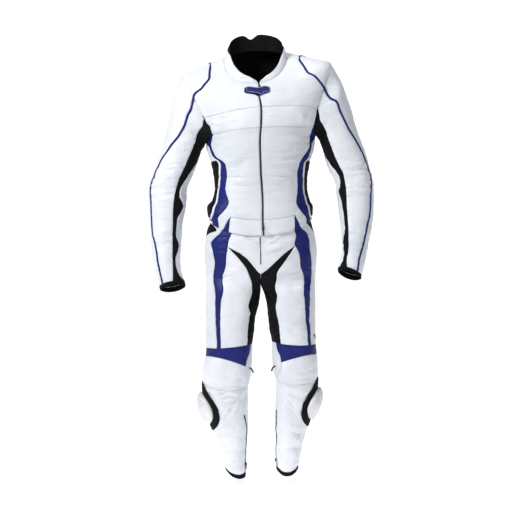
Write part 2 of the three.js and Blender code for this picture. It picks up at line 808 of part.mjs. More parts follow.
const zipPoints = (shift) => SEAMS.zip.map(([x, z]) => [x + shift, z]);
const wholeFront = [-60, 60];
const zipEdge = Object.fromEntries(
  SIDES.map(({ side }) => {
    const points = zipPoints(side * ZIP_HALF_WIDTH);
    const top = jacket.pin(...points[0], wholeFront, [0, 1])[1];
    const bottom = jacket.pin(...points.at(-1), wholeFront, [14, 15])[1];
    const ends = { first: top, last: bottom };
    return [side, jacket.seam(points, wholeFront, [JACKET.neck, JACKET.hem], ends)];
  }),
);

function jacketSide(side) {
  const front = side < 0 ? [-90, -2] : [2, 90];
  const back = side < 0 ? [-178, -90] : [90, 178];
  const edge = side * 90;
  const { shoulder, armpit, epaulette, piping, belly, band, hem, stretch, stretchEnd } = JACKET;
  const atEdge = { first: edge, last: edge };
  const armholeFront = jacket.seam(SEAMS.armholeFront[side], front, [shoulder, armpit], atEdge);
  const armholeBack = jacket.seam(SEAMS.armholeBack[side], back, [shoulder, armpit], atEdge);
  const pipe = jacket.seam(SEAMS.bodyPiping[side], front, [epaulette, piping], {
    first: side * SHOULDER_PIPING,
    last: armholeFront(piping),
  });
  // Behind, the piping is the front's mirror image, drawn over to the end of the armhole
  const pipeBackEnd = armholeBack(piping);
  const mirrored = (level) => side * 180 - pipe(level);
  const behindEnd = pipeBackEnd - mirrored(piping);
  const drawnOver = (level) => (behindEnd * (level - epaulette)) / (piping - epaulette);
  const pipeBack = jacket.addSeam(
    (level) => (level === piping ? pipeBackEnd : mirrored(level) + drawnOver(level)),
    [epaulette, piping],
  );
  const ridge = jacket.addSeam(constant(edge), [JACKET.neck, epaulette]);
  const angleInBand = (point) => jacket.pin(...point, front, [band, hem])[1];
  const stripeInner = jacket.seam(SEAMS.stripeInner[side], front, [belly, hem], {
    first: armholeFront(belly) - side * STRIPE_TIP,
    last: angleInBand(SEAMS.stripeInner[side].at(-1)),
  });
  const stripeOuter = jacket.seam(SEAMS.stripeOuter[side], front, [armpit, hem], {
    first: edge,
    last: angleInBand(SEAMS.stripeOuter[side].at(-1)),
  });
  const stretchFront = jacket.addSeam(
    (level) => stripeOuter(level) + side * SIDE_WHITE,
    [stretch, stretchEnd],
  );
  const sideSeam = jacket.addSeam(constant(side * SIDE_SEAM), [armpit, hem]);
  const wedge = (points) => {
    const [first, last] = points.map(angleInBand);
    return jacket.addSeam((level) => lerp(first, last, (level - band) / (hem - band)), [band, hem]);
  };
  const wedgeInner = wedge(SEAMS.wedgeInner[side]);
  const wedgeOuter = wedge(SEAMS.wedgeOuter[side]);
  return {
    armholeFront, armholeBack, pipe, pipeBack, ridge, stripeInner, stripeOuter, stretchFront,
    sideSeam, wedgeInner, wedgeOuter,
  };
}

const jacketSeams = { [RIGHT]: jacketSide(RIGHT), [LEFT]: jacketSide(LEFT) };

// A band of one side's panel, with its seams named from the side to the middle
function jacketBand(name, side, from, to, outer, inner) {
  const [left, right] = side < 0 ? [outer, inner] : [inner, outer];
  skin.band(name, jacket, from, to, left, right);
}

for (const { side, name } of SIDES) {
  const s = jacketSeams[side];
  const { neck, epaulette, shoulder, piping, chest, belly } = JACKET;
  const { armpit, stretch, band, stretchEnd, hem } = JACKET;
  const zip = zipEdge[side];
  const yoke = `${name}_yoke`;
  jacketBand(yoke, side, neck, epaulette, s.ridge, zip);
  jacketBand(yoke, side, epaulette, piping, s.pipe, zip);
  jacketBand(yoke, side, piping, chest, s.armholeFront, zip);
  const cap = `${name}_shoulder_cap`;
  jacketBand(cap, side, epaulette, shoulder, s.pipeBack, s.pipe);
  jacketBand(cap, side, shoulder, piping, s.armholeFront, s.pipe);
  jacketBand(cap, side, shoulder, piping, s.pipeBack, s.armholeBack);
  jacketBand(`${name}_chest_band`, side, chest, belly, s.armholeFront, zip);
  const stripe = `${name}_side_stripe`;
  jacketBand(stripe, side, belly, armpit, s.armholeFront, s.stripeInner);
  jacketBand(stripe, side, armpit, hem, s.stripeOuter, s.stripeInner);
  const frontPanel = `${name}_front_panel`;
  jacketBand(frontPanel, side, belly, band, s.stripeInner, zip);
  jacketBand(frontPanel, side, band, hem, s.stripeInner, s.wedgeOuter);
  jacketBand(`${name}_hem_wedge`, side, band, hem, s.wedgeOuter, s.wedgeInner);
  jacketBand(`${name}_hem_band`, side, band, hem, s.wedgeInner, zip);
  const sidePanel = `${name}_side_panel`;
  jacketBand(sidePanel, side, armpit, stretch, s.sideSeam, s.stripeOuter);
  jacketBand(sidePanel, side, stretch, stretchEnd, s.stretchFront, s.stripeOuter);
  jacketBand(sidePanel, side, stretchEnd, hem, s.sideSeam, s.stripeOuter);
  jacketBand(`${name}_side_stretch`, side, stretch, stretchEnd, s.sideSeam, s.stretchFront);
}
skin.band("front_zip", jacket, JACKET.neck, JACKET.hem, zipEdge[RIGHT], zipEdge[LEFT]);

const behind = (seam) => (level) => seam(level) + 360;
const backBands = [
  ["neck", "epaulette", "ridge"],
  ["epaulette", "piping", "pipeBack"],
  ["piping", "armpit", "armholeBack"],
  ["armpit", "hem", "sideSeam"],
];
for (const [from, to, seam] of backBands) {
  const [left, right] = [jacketSeams[LEFT][seam], behind(jacketSeams[RIGHT][seam])];
  skin.band("jacket_back", jacket, JACKET[from], JACKET[to], left, right);
}

// The sleeves: their first ring is the armhole
function sleeveTube(side) {
  const seams = jacketSeams[side];
  const { shoulder, armpit } = JACKET;
  const armhole = (angle) => {
    const turn = wrapped(angle);
    const inFront = Math.abs(turn) <= 90;
    const level = inFront
      ? lerp(shoulder, armpit, (turn + 90) / 180)
      : lerp(armpit, shoulder, (((turn + 360) % 360) - 90) / 180);
    return jacket.smoothPoint((inFront ? seams.armholeFront : seams.armholeBack)(level), level);
  };
  const cache = new Map();
  const cached = (angle) => {
    if (!cache.has(angle)) cache.set(angle, armhole(angle));
    return cache.get(angle);
  };
  return new Tube({
    rings: [cached, ...SLEEVE_RINGS[side].map((ring) => (angle) => ringPoint(ring, angle))],
    levels: steps(SLEEVE.armhole, SLEEVE.end, 1),
    step: 18,
    turn: -side,
  });
}

const sleeves = {};
for (const { side, name } of SIDES) {
  const tube = sleeveTube(side);
  const { armhole, cuff, end } = SLEEVE;
  const front = [-90, 90];
  const range = [armhole, cuff];
  const lastAngle = (points) => tube.pin(...points.at(-1), front, [cuff - 1, cuff])[1];
  const piping = tube.seam(SEAMS.sleevePiping[side], front, range, {
    first: SLEEVE_SEAMS.piping,
    last: lastAngle(SEAMS.sleevePiping[side]),
  });
  const outer = tube.seam(SEAMS.stretchOuter[side], front, range, {
    first: SLEEVE_SEAMS.stretch,
    last: lastAngle(SEAMS.stretchOuter[side]),
  });
  const inner = tube.seam(SEAMS.stretchInner[side], front, range, {
    first: SLEEVE_SEAMS.back,
    last: lastAngle(SEAMS.stretchInner[side]),
  });
  skin.band(`${name}_sleeve_front`, tube, armhole, cuff, piping, outer);
  skin.band(`${name}_sleeve_stretch`, tube, armhole, cuff, outer, inner);
  skin.band(`${name}_sleeve_outer`, tube, armhole, cuff, inner, behind(piping));
  skin.band(`${name}_cuff`, tube, cuff, end, constant(-90), constant(270));
  sleeves[side] = { tube, piping };
}

// The trousers: each half goes from the middle of the body round its own hip, and becomes a leg
class Leg extends Tube {
  reach(angle, index) {
    if (index !== LEG.crotch) return 1;
    const fromCentre = Math.min(Math.abs(angle - CENTRE_FRONT), Math.abs(angle - CENTRE_BACK));
    return THREE.MathUtils.smoothstep(fromCentre, 0, CENTRE_BLEND);
  }
}

function legTube(side) {
  // Half of the hips takes the angles from one centre seam to the other, and the crotch the rest
  const halfHips = 180 / (CENTRE_FRONT - CENTRE_BACK);
  const hipAngle = (angle) => -side * (-90 + (angle + 90) * halfHips);
  const crotchAngles = CENTRE_BACK + 360 - CENTRE_FRONT;
  const hips = TROUSER_RINGS.map((ring, i) => (angle) => {
    const turn = angle > CENTRE_BACK + 360 + 1e-6 ? angle - 360 : angle;
    if (turn <= CENTRE_FRONT + 1e-6) return ringPoint(ring, hipAngle(turn));
    return i === LEG.crotch ? crotchPoint((turn - CENTRE_FRONT) / crotchAngles) : null;
  });
  return new Leg({
    rings: [...hips, ...LEG_RINGS[side].map((ring) => (angle) => ringPoint(ring, angle))],
    levels: [
      ...steps(LEG.waist, LEG.crotch, 0.5),
      ...steps(LEG.crotch + 1, LEG.hem - 1, 1),
      LEG.binding,
      LEG.hem,
    ],
    step: 20,
    turn: -side,
  });
}

// The crotch runs from the front's middle to the back's, lowest halfway
function crotchPoint(share) {
  const ring = TROUSER_RINGS.at(-1);
  const front = ringPoint(ring, 0);
  const back = ringPoint(ring, 180);
  const dip = Math.sin(Math.PI * share) ** 0.7;
  const straight = mix(front, back, share);
  return {
    ...straight,
    y: lerp(front.y, back.y, (1 - Math.cos(Math.PI * share)) / 2),
    z: straight.z + (CROTCH_Z - (front.z + back.z) / 2) * dip,
  };
}

const legs = {};
for (const { side, name } of SIDES) {
  const tube = legTube(side);
  const { waist, hip, flyEnd, crotch, band, knee, shin, binding, hem } = LEG;
  const hipFront = [-95, CENTRE_FRONT];
  const legFront = [-95, 90];
  const last = (points, levels) => tube.pin(...points.at(-1), legFront, levels)[1];
  const first = (points, levels) => tube.pin(...points[0], hipFront, levels)[1];
  const centre = tube.addSeam(constant(CENTRE_FRONT), [waist, crotch]);
  const centreBack = tube.addSeam(constant(CENTRE_BACK), [waist, crotch]);
  const aboveBand = [band - 1, band];
  const stripe = (points) =>
    tube.seam(points, hipFront, [waist, band], {
      first: first(points, [waist + 1, waist + 2]),
      last: last(points, aboveBand),
    });
  const stripeInner = stripe(SEAMS.thighStripeInner[side]);
  const stripeOuter = stripe(SEAMS.thighStripeOuter[side]);
  const hipPoints = SEAMS.hipPanel[side];
  const hipPanel = tube.seam(hipPoints, hipFront, [waist, hip], {
    first: first(hipPoints, [waist + 0.5, waist + 1.5]),
    last: -90,
  });
  const tip = stripeInner(hip);
  const fly = tube.seam(SEAMS.fly[side], hipFront, [hip, flyEnd], { first: tip, last: CENTRE_FRONT });
  const thigh = SEAMS.innerThigh[side];
  const innerThigh = tube.seam(thigh, legFront, [hip, band], {
    first: tip,
    last: last(thigh, aboveBand),
  });
  const inseam = tube.addSeam(constant(INSEAM), [crotch, band]);
  const outseam = tube.addSeam(constant(OUTSEAM), [band, binding]);
  const kneePoints = SEAMS.kneeInner[side];
  const kneeInner = tube.seam(kneePoints, [0, 90], [band, shin], {
    first: tube.pin(...kneePoints[0], [0, 90], [band - 0.5, band + 0.5])[1],
    last: tube.pin(...SEAMS.calfZip[side][0], [0, 90], [shin - 0.3, shin + 0.3])[1],
  });
  const calfZip = tube.seam(SEAMS.calfZip[side], [0, 95], [shin, binding], {
    first: kneeInner(shin),
    last: tube.pin(...SEAMS.calfZip[side].at(-1), [0, 95], [hem - 0.5, hem])[1],
  });
  skin.band("seat_stretch", tube, waist, hip, centreBack, hipPanel);
  skin.band("fly_panel", tube, waist, hip, stripeInner, centre);
  skin.band("fly_panel", tube, hip, flyEnd, fly, centre);
  skin.band(`${name}_thigh_stripe`, tube, waist, band, stripeOuter, stripeInner);
  skin.band(`${name}_thigh_front`, tube, hip, band, stripeInner, innerThigh);
  const inside = `${name}_inner_stretch`;
  skin.band(inside, tube, hip, flyEnd, innerThigh, fly);
  skin.band(inside, tube, flyEnd, crotch, innerThigh, centre);
  skin.band(inside, tube, crotch, band, innerThigh, inseam);
  const outside = `${name}_thigh_outer`;
  skin.band(outside, tube, waist, hip, hipPanel, stripeOuter);
  skin.band(outside, tube, hip, crotch, centreBack, stripeOuter);
  skin.band(outside, tube, crotch, band, inseam, behind(stripeOuter));
  skin.band(outside, tube, band, shin, kneeInner, behind(outseam));
  skin.band(`${name}_knee_band`, tube, band, knee, outseam, kneeInner);
  skin.band(`${name}_knee_panel`, tube, knee, shin, outseam, kneeInner);
  skin.band(`${name}_shin`, tube, shin, binding, outseam, calfZip);
  skin.band(`${name}_calf_back`, tube, shin, binding, calfZip, behind(outseam));
  skin.band(`${name}_hem_binding`, tube, binding, hem, constant(OUTSEAM), constant(OUTSEAM + 360));
  legs[side] = { tube, calfZip };
}

// The collar: leather outside, cut lower at the sides and back than the lining
const collarRing = (angle, share) => {
  const base = ringPoint(JACKET_RINGS[0], angle);
  const top = ringPoint(COLLAR_TOP, angle);
  const inBack = Math.abs(wrapped(angle)) > 90;
  const fromDip = (top.x - COLLAR_DIP.x) / COLLAR_DIP.width;
  const dip = inBack ? COLLAR_DIP.depth * Math.exp(-(fromDip ** 2)) : 0;
  return mix(base, { ...top, z: top.z - dip }, share);
};
const collarHeight = (angle) => {
  const past = Math.abs(wrapped(angle)) - COLLAR.peak;
  return lerp(1, COLLAR.sideHeight, THREE.MathUtils.smoothstep(past, 0, COLLAR.slope));
};
const collarShares = [0, 0.36, 0.7, 1];
const collar = new Tube({
  rings: collarShares.map((share) => (angle) => collarRing(angle, share * collarHeight(angle))),
  levels: [0, 1, 2, 3],
  step: 18,
  turn: -1,
});
const collarEnds = Object.fromEntries(
  SIDES.map(({ side }) => {
    const lean = smooth([[0, 0], [1, 2], [2, 7], [3, 14]]);
    return [side, collar.addSeam((level) => zipEdge[side](0) + side * lean(level), [0, 3])];
  }),
);
skin.band("collar", collar, 0, 3, collarEnds[LEFT], behind(collarEnds[RIGHT]));

// The lining stands just inside the collar, and goes to the top all the way round
const lining = new Tube({
  rings: [0.08, 1].map((share) => (angle) => collarRing(angle, share)),
  levels: [0, 1],
  step: 18,
  turn: -1,
});
const liningEnds = Object.fromEntries(
  SIDES.map(({ side }) => {
    const lean = smooth([[0, 4], [1, 16]]);
    return [side, lining.addSeam((level) => zipEdge[side](0) + side * lean(level), [0, 1])];
  }),
);
const liningSkin = new Skin();
liningSkin.band("collar_lining", lining, 0, 1, liningEnds[LEFT], behind(liningEnds[RIGHT]));
liningSkin.finishNormals();

// The neck tab lies over the top of the front zip
function neckTab() {
  const spots = TAB_COLUMNS.map(({ x, top, bottom }) =>
    [top, lerp(top, bottom, 0.5), bottom].map((z) => {
      const [level, angle] = jacket.pin(x, z, wholeFront, [0, 5]);
      return { position: jacket.point(angle, level), out: jacket.outward(angle, level) };
    }),
  );
  const grid = [0, 1, 2].map((i) => spots.map((column) => column[i]));
  const raised = (rise) =>
    grid.map((row) => row.map(({ position, out }) => position.clone().addScaledVector(out, rise)));
  return blockOver(raised(TAB.lift), raised(TAB.lift + TAB.height));
}

// A pad that lies on a leg: rise gives its height over the leather at each spot of the grid
function onLeg(tube, levels, anglesAt, columns, lift, rise) {
  const lower = [];
  const upper = [];
  for (const level of levels) {
    const [from, to] = anglesAt(level);
    const row = { lower: [], upper: [] };
    for (let j = 0; j <= columns; j += 1) {
      const angle = lerp(from, to, j / columns);
      const spot = tube.point(angle, level);
      const out = tube.outward(angle, level);
      row.lower.push(spot.clone().addScaledVector(out, lift));
      row.upper.push(spot.clone().addScaledVector(out, lift + rise(angle, level)));
    }
    if (tube.turn < 0) {
      row.lower.reverse();
      row.upper.reverse();
    }
    lower.push(row.lower);
    upper.push(row.upper);
  }
  return blockOver(lower, upper);
}

function sliderPad(tube) {
  const from = smooth(SLIDER_PAD.map(({ level, from: angle }) => [level, angle]));
  const to = smooth(SLIDER_PAD.map(({ level, to: angle }) => [level, angle]));
  const [top, bottom] = [SLIDER_PAD[0].level, SLIDER_PAD.at(-1).level];
  const levels = steps(top, bottom, (bottom - top) / PAD.rows);
  const anglesAt = (level) => [from(level), to(level)];
  return onLeg(tube, levels, anglesAt, PAD.columns, PAD.lift, () => PAD.height);
}

// The puck is a dome over an oval: down and across are -1 to 1 from edge to edge of the oval
function sliderPuck(tube) {
  const half = (PUCK.rows - 1) / 2;
  const levels = steps(-half, half, 1).map((i) => {
    const down = Math.sin((Math.PI * i) / PUCK.rows);
    return PUCK.level + PUCK.levels * down;
  });
  const downAt = (level) => (level - PUCK.level) / PUCK.levels;
  const middle = (level) => PUCK.angle + PUCK.tilt * (level - PUCK.level);
  const anglesAt = (level) => {
    const reach = PUCK.angles * Math.sqrt(Math.max(1 - downAt(level) ** 2, 0.02));
    return [middle(level) - reach, middle(level) + reach];
  };
  const rise = (angle, level) => {
    const across = (angle - middle(level)) / PUCK.angles;
    const inside = Math.max(1 - downAt(level) ** 2 - across ** 2, 0);
    const dome = (PUCK.height - PUCK.rim) * (1 - PUCK.lean * downAt(level));
    return PUCK.rim + dome * inside ** 0.6;
  };
  return onLeg(tube, levels, anglesAt, PUCK.columns, PAD.lift + PAD.height + PUCK.gap, rise);
}

skin.finishNormals();

// The point of the skin at an angle and level, with the direction it faces
const skinPoint = (tube, angle, level) => skin.points[skin.vertex(tube.point(angle, level))];

function pipingPath(side) {
  const { tube, piping } = sleeves[side];
  const { pipe, pipeBack } = jacketSeams[side];
  const between = (levels, from, to) => levels.filter((level) => level >= from && level <= to);
  const onJacket = between(jacket.levels, JACKET.epaulette, JACKET.piping);
  const onSleeve = between(tube.levels, SLEEVE.armhole, SLEEVE.cuff).slice(1);
  return [
    ...onSleeve.toReversed().map((level) => skinPoint(tube, piping(level), level)),
    ...onJacket.toReversed().map((level) => skinPoint(jacket, pipe(level), level)),
    skinPoint(jacket, side * 90, JACKET.epaulette),
    ...onJacket.map((level) => skinPoint(jacket, pipeBack(level), level)),
  ];
}

const legLevels = legs[RIGHT].tube.levels;
const calfZipLevels = legLevels.filter((level) => level >= LEG.calfZip && level <= LEG.binding);
const flyZipLevels = legLevels.filter((level) => level >= LEG.flyTop && level <= LEG.flyBottom);

const suit = new THREE.Group();
const jacketGroup = new THREE.Group();
const trouserGroup = new THREE.Group();
suit.add(jacketGroup, trouserGroup);

const WHITE_ON_JACKET = [
  "yoke",
  "shoulder_cap",
  "chest_band",
  "hem_band",
  "side_panel",
  "sleeve_front",
  "sleeve_outer",
];
const WHITE_ON_TROUSERS = ["thigh_front", "knee_panel", "shin", "calf_back"];
for (const { side, name } of SIDES) {
  const panel = (part, finish) => mesh(`${name}_${part}`, skin.solid(`${name}_${part}`), finish);
  for (const part of WHITE_ON_JACKET) jacketGroup.add(panel(part, WHITE));
  jacketGroup.add(
    panel("front_panel", PERFORATED),
    panel("side_stripe", BLUE),
    panel("hem_wedge", BLUE),
    panel("side_stretch", BLACK),
    panel("sleeve_stretch", BLACK),
    panel("cuff", BLACK),
    mesh(`${name}_piping`, barAlong(pipingPath(side), PIPING), BLUE),
  );
  for (const part of WHITE_ON_TROUSERS) trouserGroup.add(panel(part, WHITE));
  trouserGroup.add(
    panel("thigh_outer", PERFORATED),
    panel("thigh_stripe", BLUE),
    panel("knee_band", BLUE),
    panel("inner_stretch", BLACK),
    panel("hem_binding", BLACK),
  );
  const { tube, calfZip } = legs[side];
  const zipPath = calfZipLevels.map((level) => skinPoint(tube, calfZip(level), level));
  trouserGroup.add(
    mesh(`${name}_calf_zip`, barAlong(zipPath, CALF_ZIP), ZIP),
    mesh(`${name}_slider_pad`, sliderPad(tube), BLACK),
    mesh(`${name}_knee_slider`, sliderPuck(tube), SLIDER),
  );
}
const liningSolid = liningSkin.solid("collar_lining", COLLAR_LINING, -LEATHER - LINING_GAP);
jacketGroup.add(
  mesh("jacket_back", skin.solid("jacket_back"), WHITE),
  mesh("collar", skin.solid("collar"), WHITE),
  mesh("collar_lining", liningSolid, LINING),
  mesh("front_zip", skin.solid("front_zip", ZIP_WALL, -ZIP_SUNK), ZIP),
  mesh("neck_tab", neckTab(), BLUE),
);
const flyPath = flyZipLevels.map((level) => skinPoint(legs[RIGHT].tube, CENTRE_FRONT, level));
trouserGroup.add(
  mesh("seat_stretch", skin.solid("seat_stretch"), BLACK),
  mesh("fly_panel", skin.solid("fly_panel"), WHITE),
  mesh("fly_zip", barAlong(flyPath, FLY_ZIP), ZIP),
);

export default suit;
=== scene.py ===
import json
import logging
import math
from collections.abc import Callable, Iterable, Sequence
from dataclasses import dataclass, field
from enum import Enum
from typing import NamedTuple

import bpy
import numpy as np
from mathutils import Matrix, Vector
from mathutils.kdtree import KDTree

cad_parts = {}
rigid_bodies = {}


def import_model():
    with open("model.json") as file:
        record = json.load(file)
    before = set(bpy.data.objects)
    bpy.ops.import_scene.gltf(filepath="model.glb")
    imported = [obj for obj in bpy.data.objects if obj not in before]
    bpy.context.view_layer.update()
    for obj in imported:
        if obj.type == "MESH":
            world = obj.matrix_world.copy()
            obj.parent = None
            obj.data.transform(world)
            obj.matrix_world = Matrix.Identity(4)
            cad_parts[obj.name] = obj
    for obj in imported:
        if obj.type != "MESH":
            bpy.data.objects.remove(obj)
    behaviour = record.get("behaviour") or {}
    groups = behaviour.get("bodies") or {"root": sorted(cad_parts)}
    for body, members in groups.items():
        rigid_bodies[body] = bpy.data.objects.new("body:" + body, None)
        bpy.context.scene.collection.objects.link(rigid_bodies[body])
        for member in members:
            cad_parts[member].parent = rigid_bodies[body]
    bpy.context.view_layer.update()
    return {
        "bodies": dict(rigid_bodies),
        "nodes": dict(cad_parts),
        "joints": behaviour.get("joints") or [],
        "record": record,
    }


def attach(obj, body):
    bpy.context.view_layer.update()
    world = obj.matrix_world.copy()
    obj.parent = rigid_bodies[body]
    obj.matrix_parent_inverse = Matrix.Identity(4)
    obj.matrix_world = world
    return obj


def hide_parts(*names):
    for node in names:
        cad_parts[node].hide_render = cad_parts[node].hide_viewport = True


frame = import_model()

LOG = logging.getLogger("race_suit")

METRES = 0.001
VIEW_DISTANCE = 4600.0
AXIS_X = -20.0
AXIS_Z = -627.0
FULLNESS = 2.3

LEATHER = 2.0
SEAM = 0.36
SAME_POINT = 0.005

RIGHT = -1
LEFT = 1
SIDES = ((RIGHT, "right"), (LEFT, "left"))

Triple = tuple[float, float, float]
Spots = np.ndarray  # one row for each point: x, y, z, and how far round to the front it is
Course = Callable[[float], float]  # an angle for each level


class Ring(NamedTuple):
    """The suit cut level: two edges in the front view, and its reach forward and back."""

    ax: float
    az: float
    bx: float
    bz: float
    zf: float
    zb: float
    yf: float
    yb: float
    ys: float
    bend: float


def rings(*lines: Sequence[float]) -> list[Ring]:
    """Returns the rings of a table.

    Args:
        lines: A line for each ring, with ten columns, or eight where the last one says how far
            the front is tipped up and the back down.

    Returns:
        The rings, from the top down.
    """
    made = []
    for line in lines:
        if len(line) == 10:
            made.append(Ring(*line))
            continue
        ax, az, bx, bz, yf, yb, ys, tip = line
        middle = (az + bz) / 2
        made.append(Ring(ax, az, bx, bz, middle + tip, middle - tip, yf, yb, ys, 2))
    return made


JACKET_RINGS = rings(
    (-129, 20, 82, 30, -56, 53, -62, 58, 5, 1.2),
    (-172, 7, 125, 30, -66, 43, -80, 78, 8, 1.5),
    (-221, -15, 178, 21, -76, 26, -90, 92, 8, 2),
    (-265, -36, 228, 7, -89, 0, -98, 103, 5, 2),
    (-254, -94, 233, -62, -112, -59, -108, 112, 0, 2),
    (-218, -185, 210, -147, -135, -132, -116, 118, 0, 2),
    (-205, -213, 202, -182, -168, -182, -119, 118, 0, 2),
    (-195, -234, 191, -210, -203, -224, -120, 116, 0, 2),
    (-185, -252, 178, -234, -224, -251, -119, 114, 0, 2),
    (-183, -277, 173, -267, -254, -280, -117, 110, 0, 2),
    (-170, -317, 160, -314, -300, -320, -112, 104, 0, 2),
    (-161, -363, 151, -363, -353, -363, -106, 98, 0, 2),
    (-157, -403, 150, -403, -399, -403, -104, 95, 0, 2),
    (-165, -442, 158, -442, -452, -442, -108, 99, 0, 2),
    (-182, -465, 168, -462, -508, -475, -113, 107, 0, 2),
    (-177, -515, 167, -508, -560, -521, -115, 114, 0, 2),
)

TROUSER_RINGS = rings(
    (-172, -498, 162, -492, -541, -505, -108, 107, 0, 2),
    (-171, -516, 161, -510, -561, -525, -109, 109, 0, 2),
    (-181, -538, 168, -535, -581, -544, -110, 112, 0, 2),
    (-186, -568, 176, -564, -606, -574, -112, 116, 0, 2),
    (-190, -607, 181, -607, -637, -610, -111, 120, 0, 2),
    (-188, -647, 179, -647, -672, -657, -105, 121, 0, 2),
    (-185, -690, 176, -690, -703, -710, -97, 114, 0, 2),
)
CROTCH_Z = -724

LEG_RINGS = {
    RIGHT: rings(
        (-185, -736, -5, -746, -744, -742, -97, 104, 4, 2),
        (-185, -779, -10, -785, -787, -785, -95, 98, 4, 2),
        (-185, -825, -21, -828, -832, -828, -93, 94, 3, 2),
        (-186, -878, -26, -878, -883, -878, -91, 90, 2, 2),
        (-185, -930, -31, -916, -930, -924, -90, 84, 0, 2),
        (-187, -957, -35, -1000, -972, -970, -90, 78, -3, 2),
        (-195, -1006, -38, -1026, -1026, -1010, -87, 74, -6, 2),
        (-196, -1049, -44, -1056, -1072, -1049, -82, 72, -8, 2),
        (-193, -1099, -46, -1102, -1115, -1099, -76, 74, -6, 2),
        (-182, -1148, -46, -1148, -1158, -1148, -70, 78, -2, 2),
        (-165, -1195, -45, -1195, -1204, -1195, -66, 78, 2, 2),
        (-149, -1241, -49, -1241, -1254, -1241, -62, 72, 2, 2),
        (-135, -1287, -50, -1290, -1307, -1287, -59, 64, 0, 2),
        (-122, -1333, -53, -1355, -1361, -1333, -56, 56, -2, 2),
    ),
    LEFT: rings(
        (175, -736, 5, -746, -744, -742, -97, 104, 4, 2),
        (176, -779, 15, -785, -787, -785, -95, 98, 4, 2),
        (176, -825, 19, -828, -832, -828, -93, 94, 3, 2),
        (177, -871, 24, -874, -878, -874, -91, 90, 2, 2),
        (178, -917, 31, -908, -922, -917, -90, 84, 0, 2),
        (181, -950, 34, -990, -965, -960, -90, 78, -3, 2),
        (183, -993, 38, -1013, -1013, -997, -87, 74, -6, 2),
        (183, -1033, 44, -1036, -1053, -1033, -82, 72, -8, 2),
        (179, -1082, 44, -1082, -1099, -1082, -76, 74, -6, 2),
        (168, -1132, 42, -1132, -1143, -1132, -70, 78, -2, 2),
        (153, -1181, 41, -1181, -1193, -1181, -66, 78, 2, 2),
        (139, -1231, 44, -1229, -1244, -1231, -62, 72, 2, 2),
        (128, -1280, 44, -1280, -1299, -1280, -59, 64, 0, 2),
        (120, -1329, 46, -1329, -1355, -1323, -56, 56, -2, 2),
    ),
}

SLEEVE_RINGS = {
    RIGHT: rings(
        (-288, -92, -191, -269, -67, 72, 4, 0),
        (-300, -139, -200, -284, -66, 70, 4, 0),
        (-309, -185, -208, -307, -65, 68, 4, 0),
        (-320, -231, -218, -333, -64, 68, 4, 0),
        (-334, -280, -228, -360, -63, 68, 4, 0),
        (-350, -323, -239, -384, -62, 68, 4, 0),
        (-367, -370, -248, -408, -61, 67, 4, 0),
        (-378, -409, -248, -431, -62, 65, 2, 0),
        (-375, -455, -251, -464, -65, 60, 0, 0),
        (-371, -502, -259, -503, -70, 51, -8, 0),
        (-369, -548, -264, -546, -76, 41, -17, 2),
        (-365, -594, -266, -589, -83, 30, -27, 4),
        (-360, -640, -269, -634, -90, 18, -37, 6),
        (-348, -685, -266, -680, -96, 4, -47, 8),
        (-341, -726, -253, -712, -102, -8, -56, 10),
        (-338, -740, -252, -729, -103, -11, -58, 12),
    ),
    LEFT: rings(
        (262, -53, 189, -248, -67, 72, 4, 0),
        (280, -102, 196, -267, -66, 70, 4, 0),
        (297, -152, 203, -290, -65, 68, 4, 0),
        (309, -198, 210, -315, -64, 68, 4, 0),
        (326, -244, 220, -342, -63, 68, 4, 0),
        (343, -290, 234, -368, -62, 68, 4, 0),
        (356, -337, 242, -393, -61, 67, 4, 0),
        (368, -383, 244, -417, -62, 65, 2, 0),
        (369, -429, 248, -450, -65, 60, 0, 0),
        (368, -475, 253, -483, -70, 51, -8, 0),
        (364, -521, 257, -521, -76, 41, -17, 2),
        (355, -568, 261, -564, -83, 30, -27, 4),
        (347, -610, 263, -604, -90, 18, -37, 6),
        (339, -652, 257, -640, -96, 4, -47, 8),
        (330, -688, 249, -664, -102, -8, -56, 11),
        (329, -702, 249, -680, -103, -11, -58, 14),
    ),
}

COLLAR_TOP = rings((-109, 73, 69, 73, -36, 104, -58, 54, 0, 1.1))[0]
COLLAR_SIDE_HEIGHT = 0.66
COLLAR_PEAK = 66
COLLAR_SLOPE = 24
COLLAR_DIP_X = -38
COLLAR_DIP_WIDTH = 16
COLLAR_DIP_DEPTH = 16

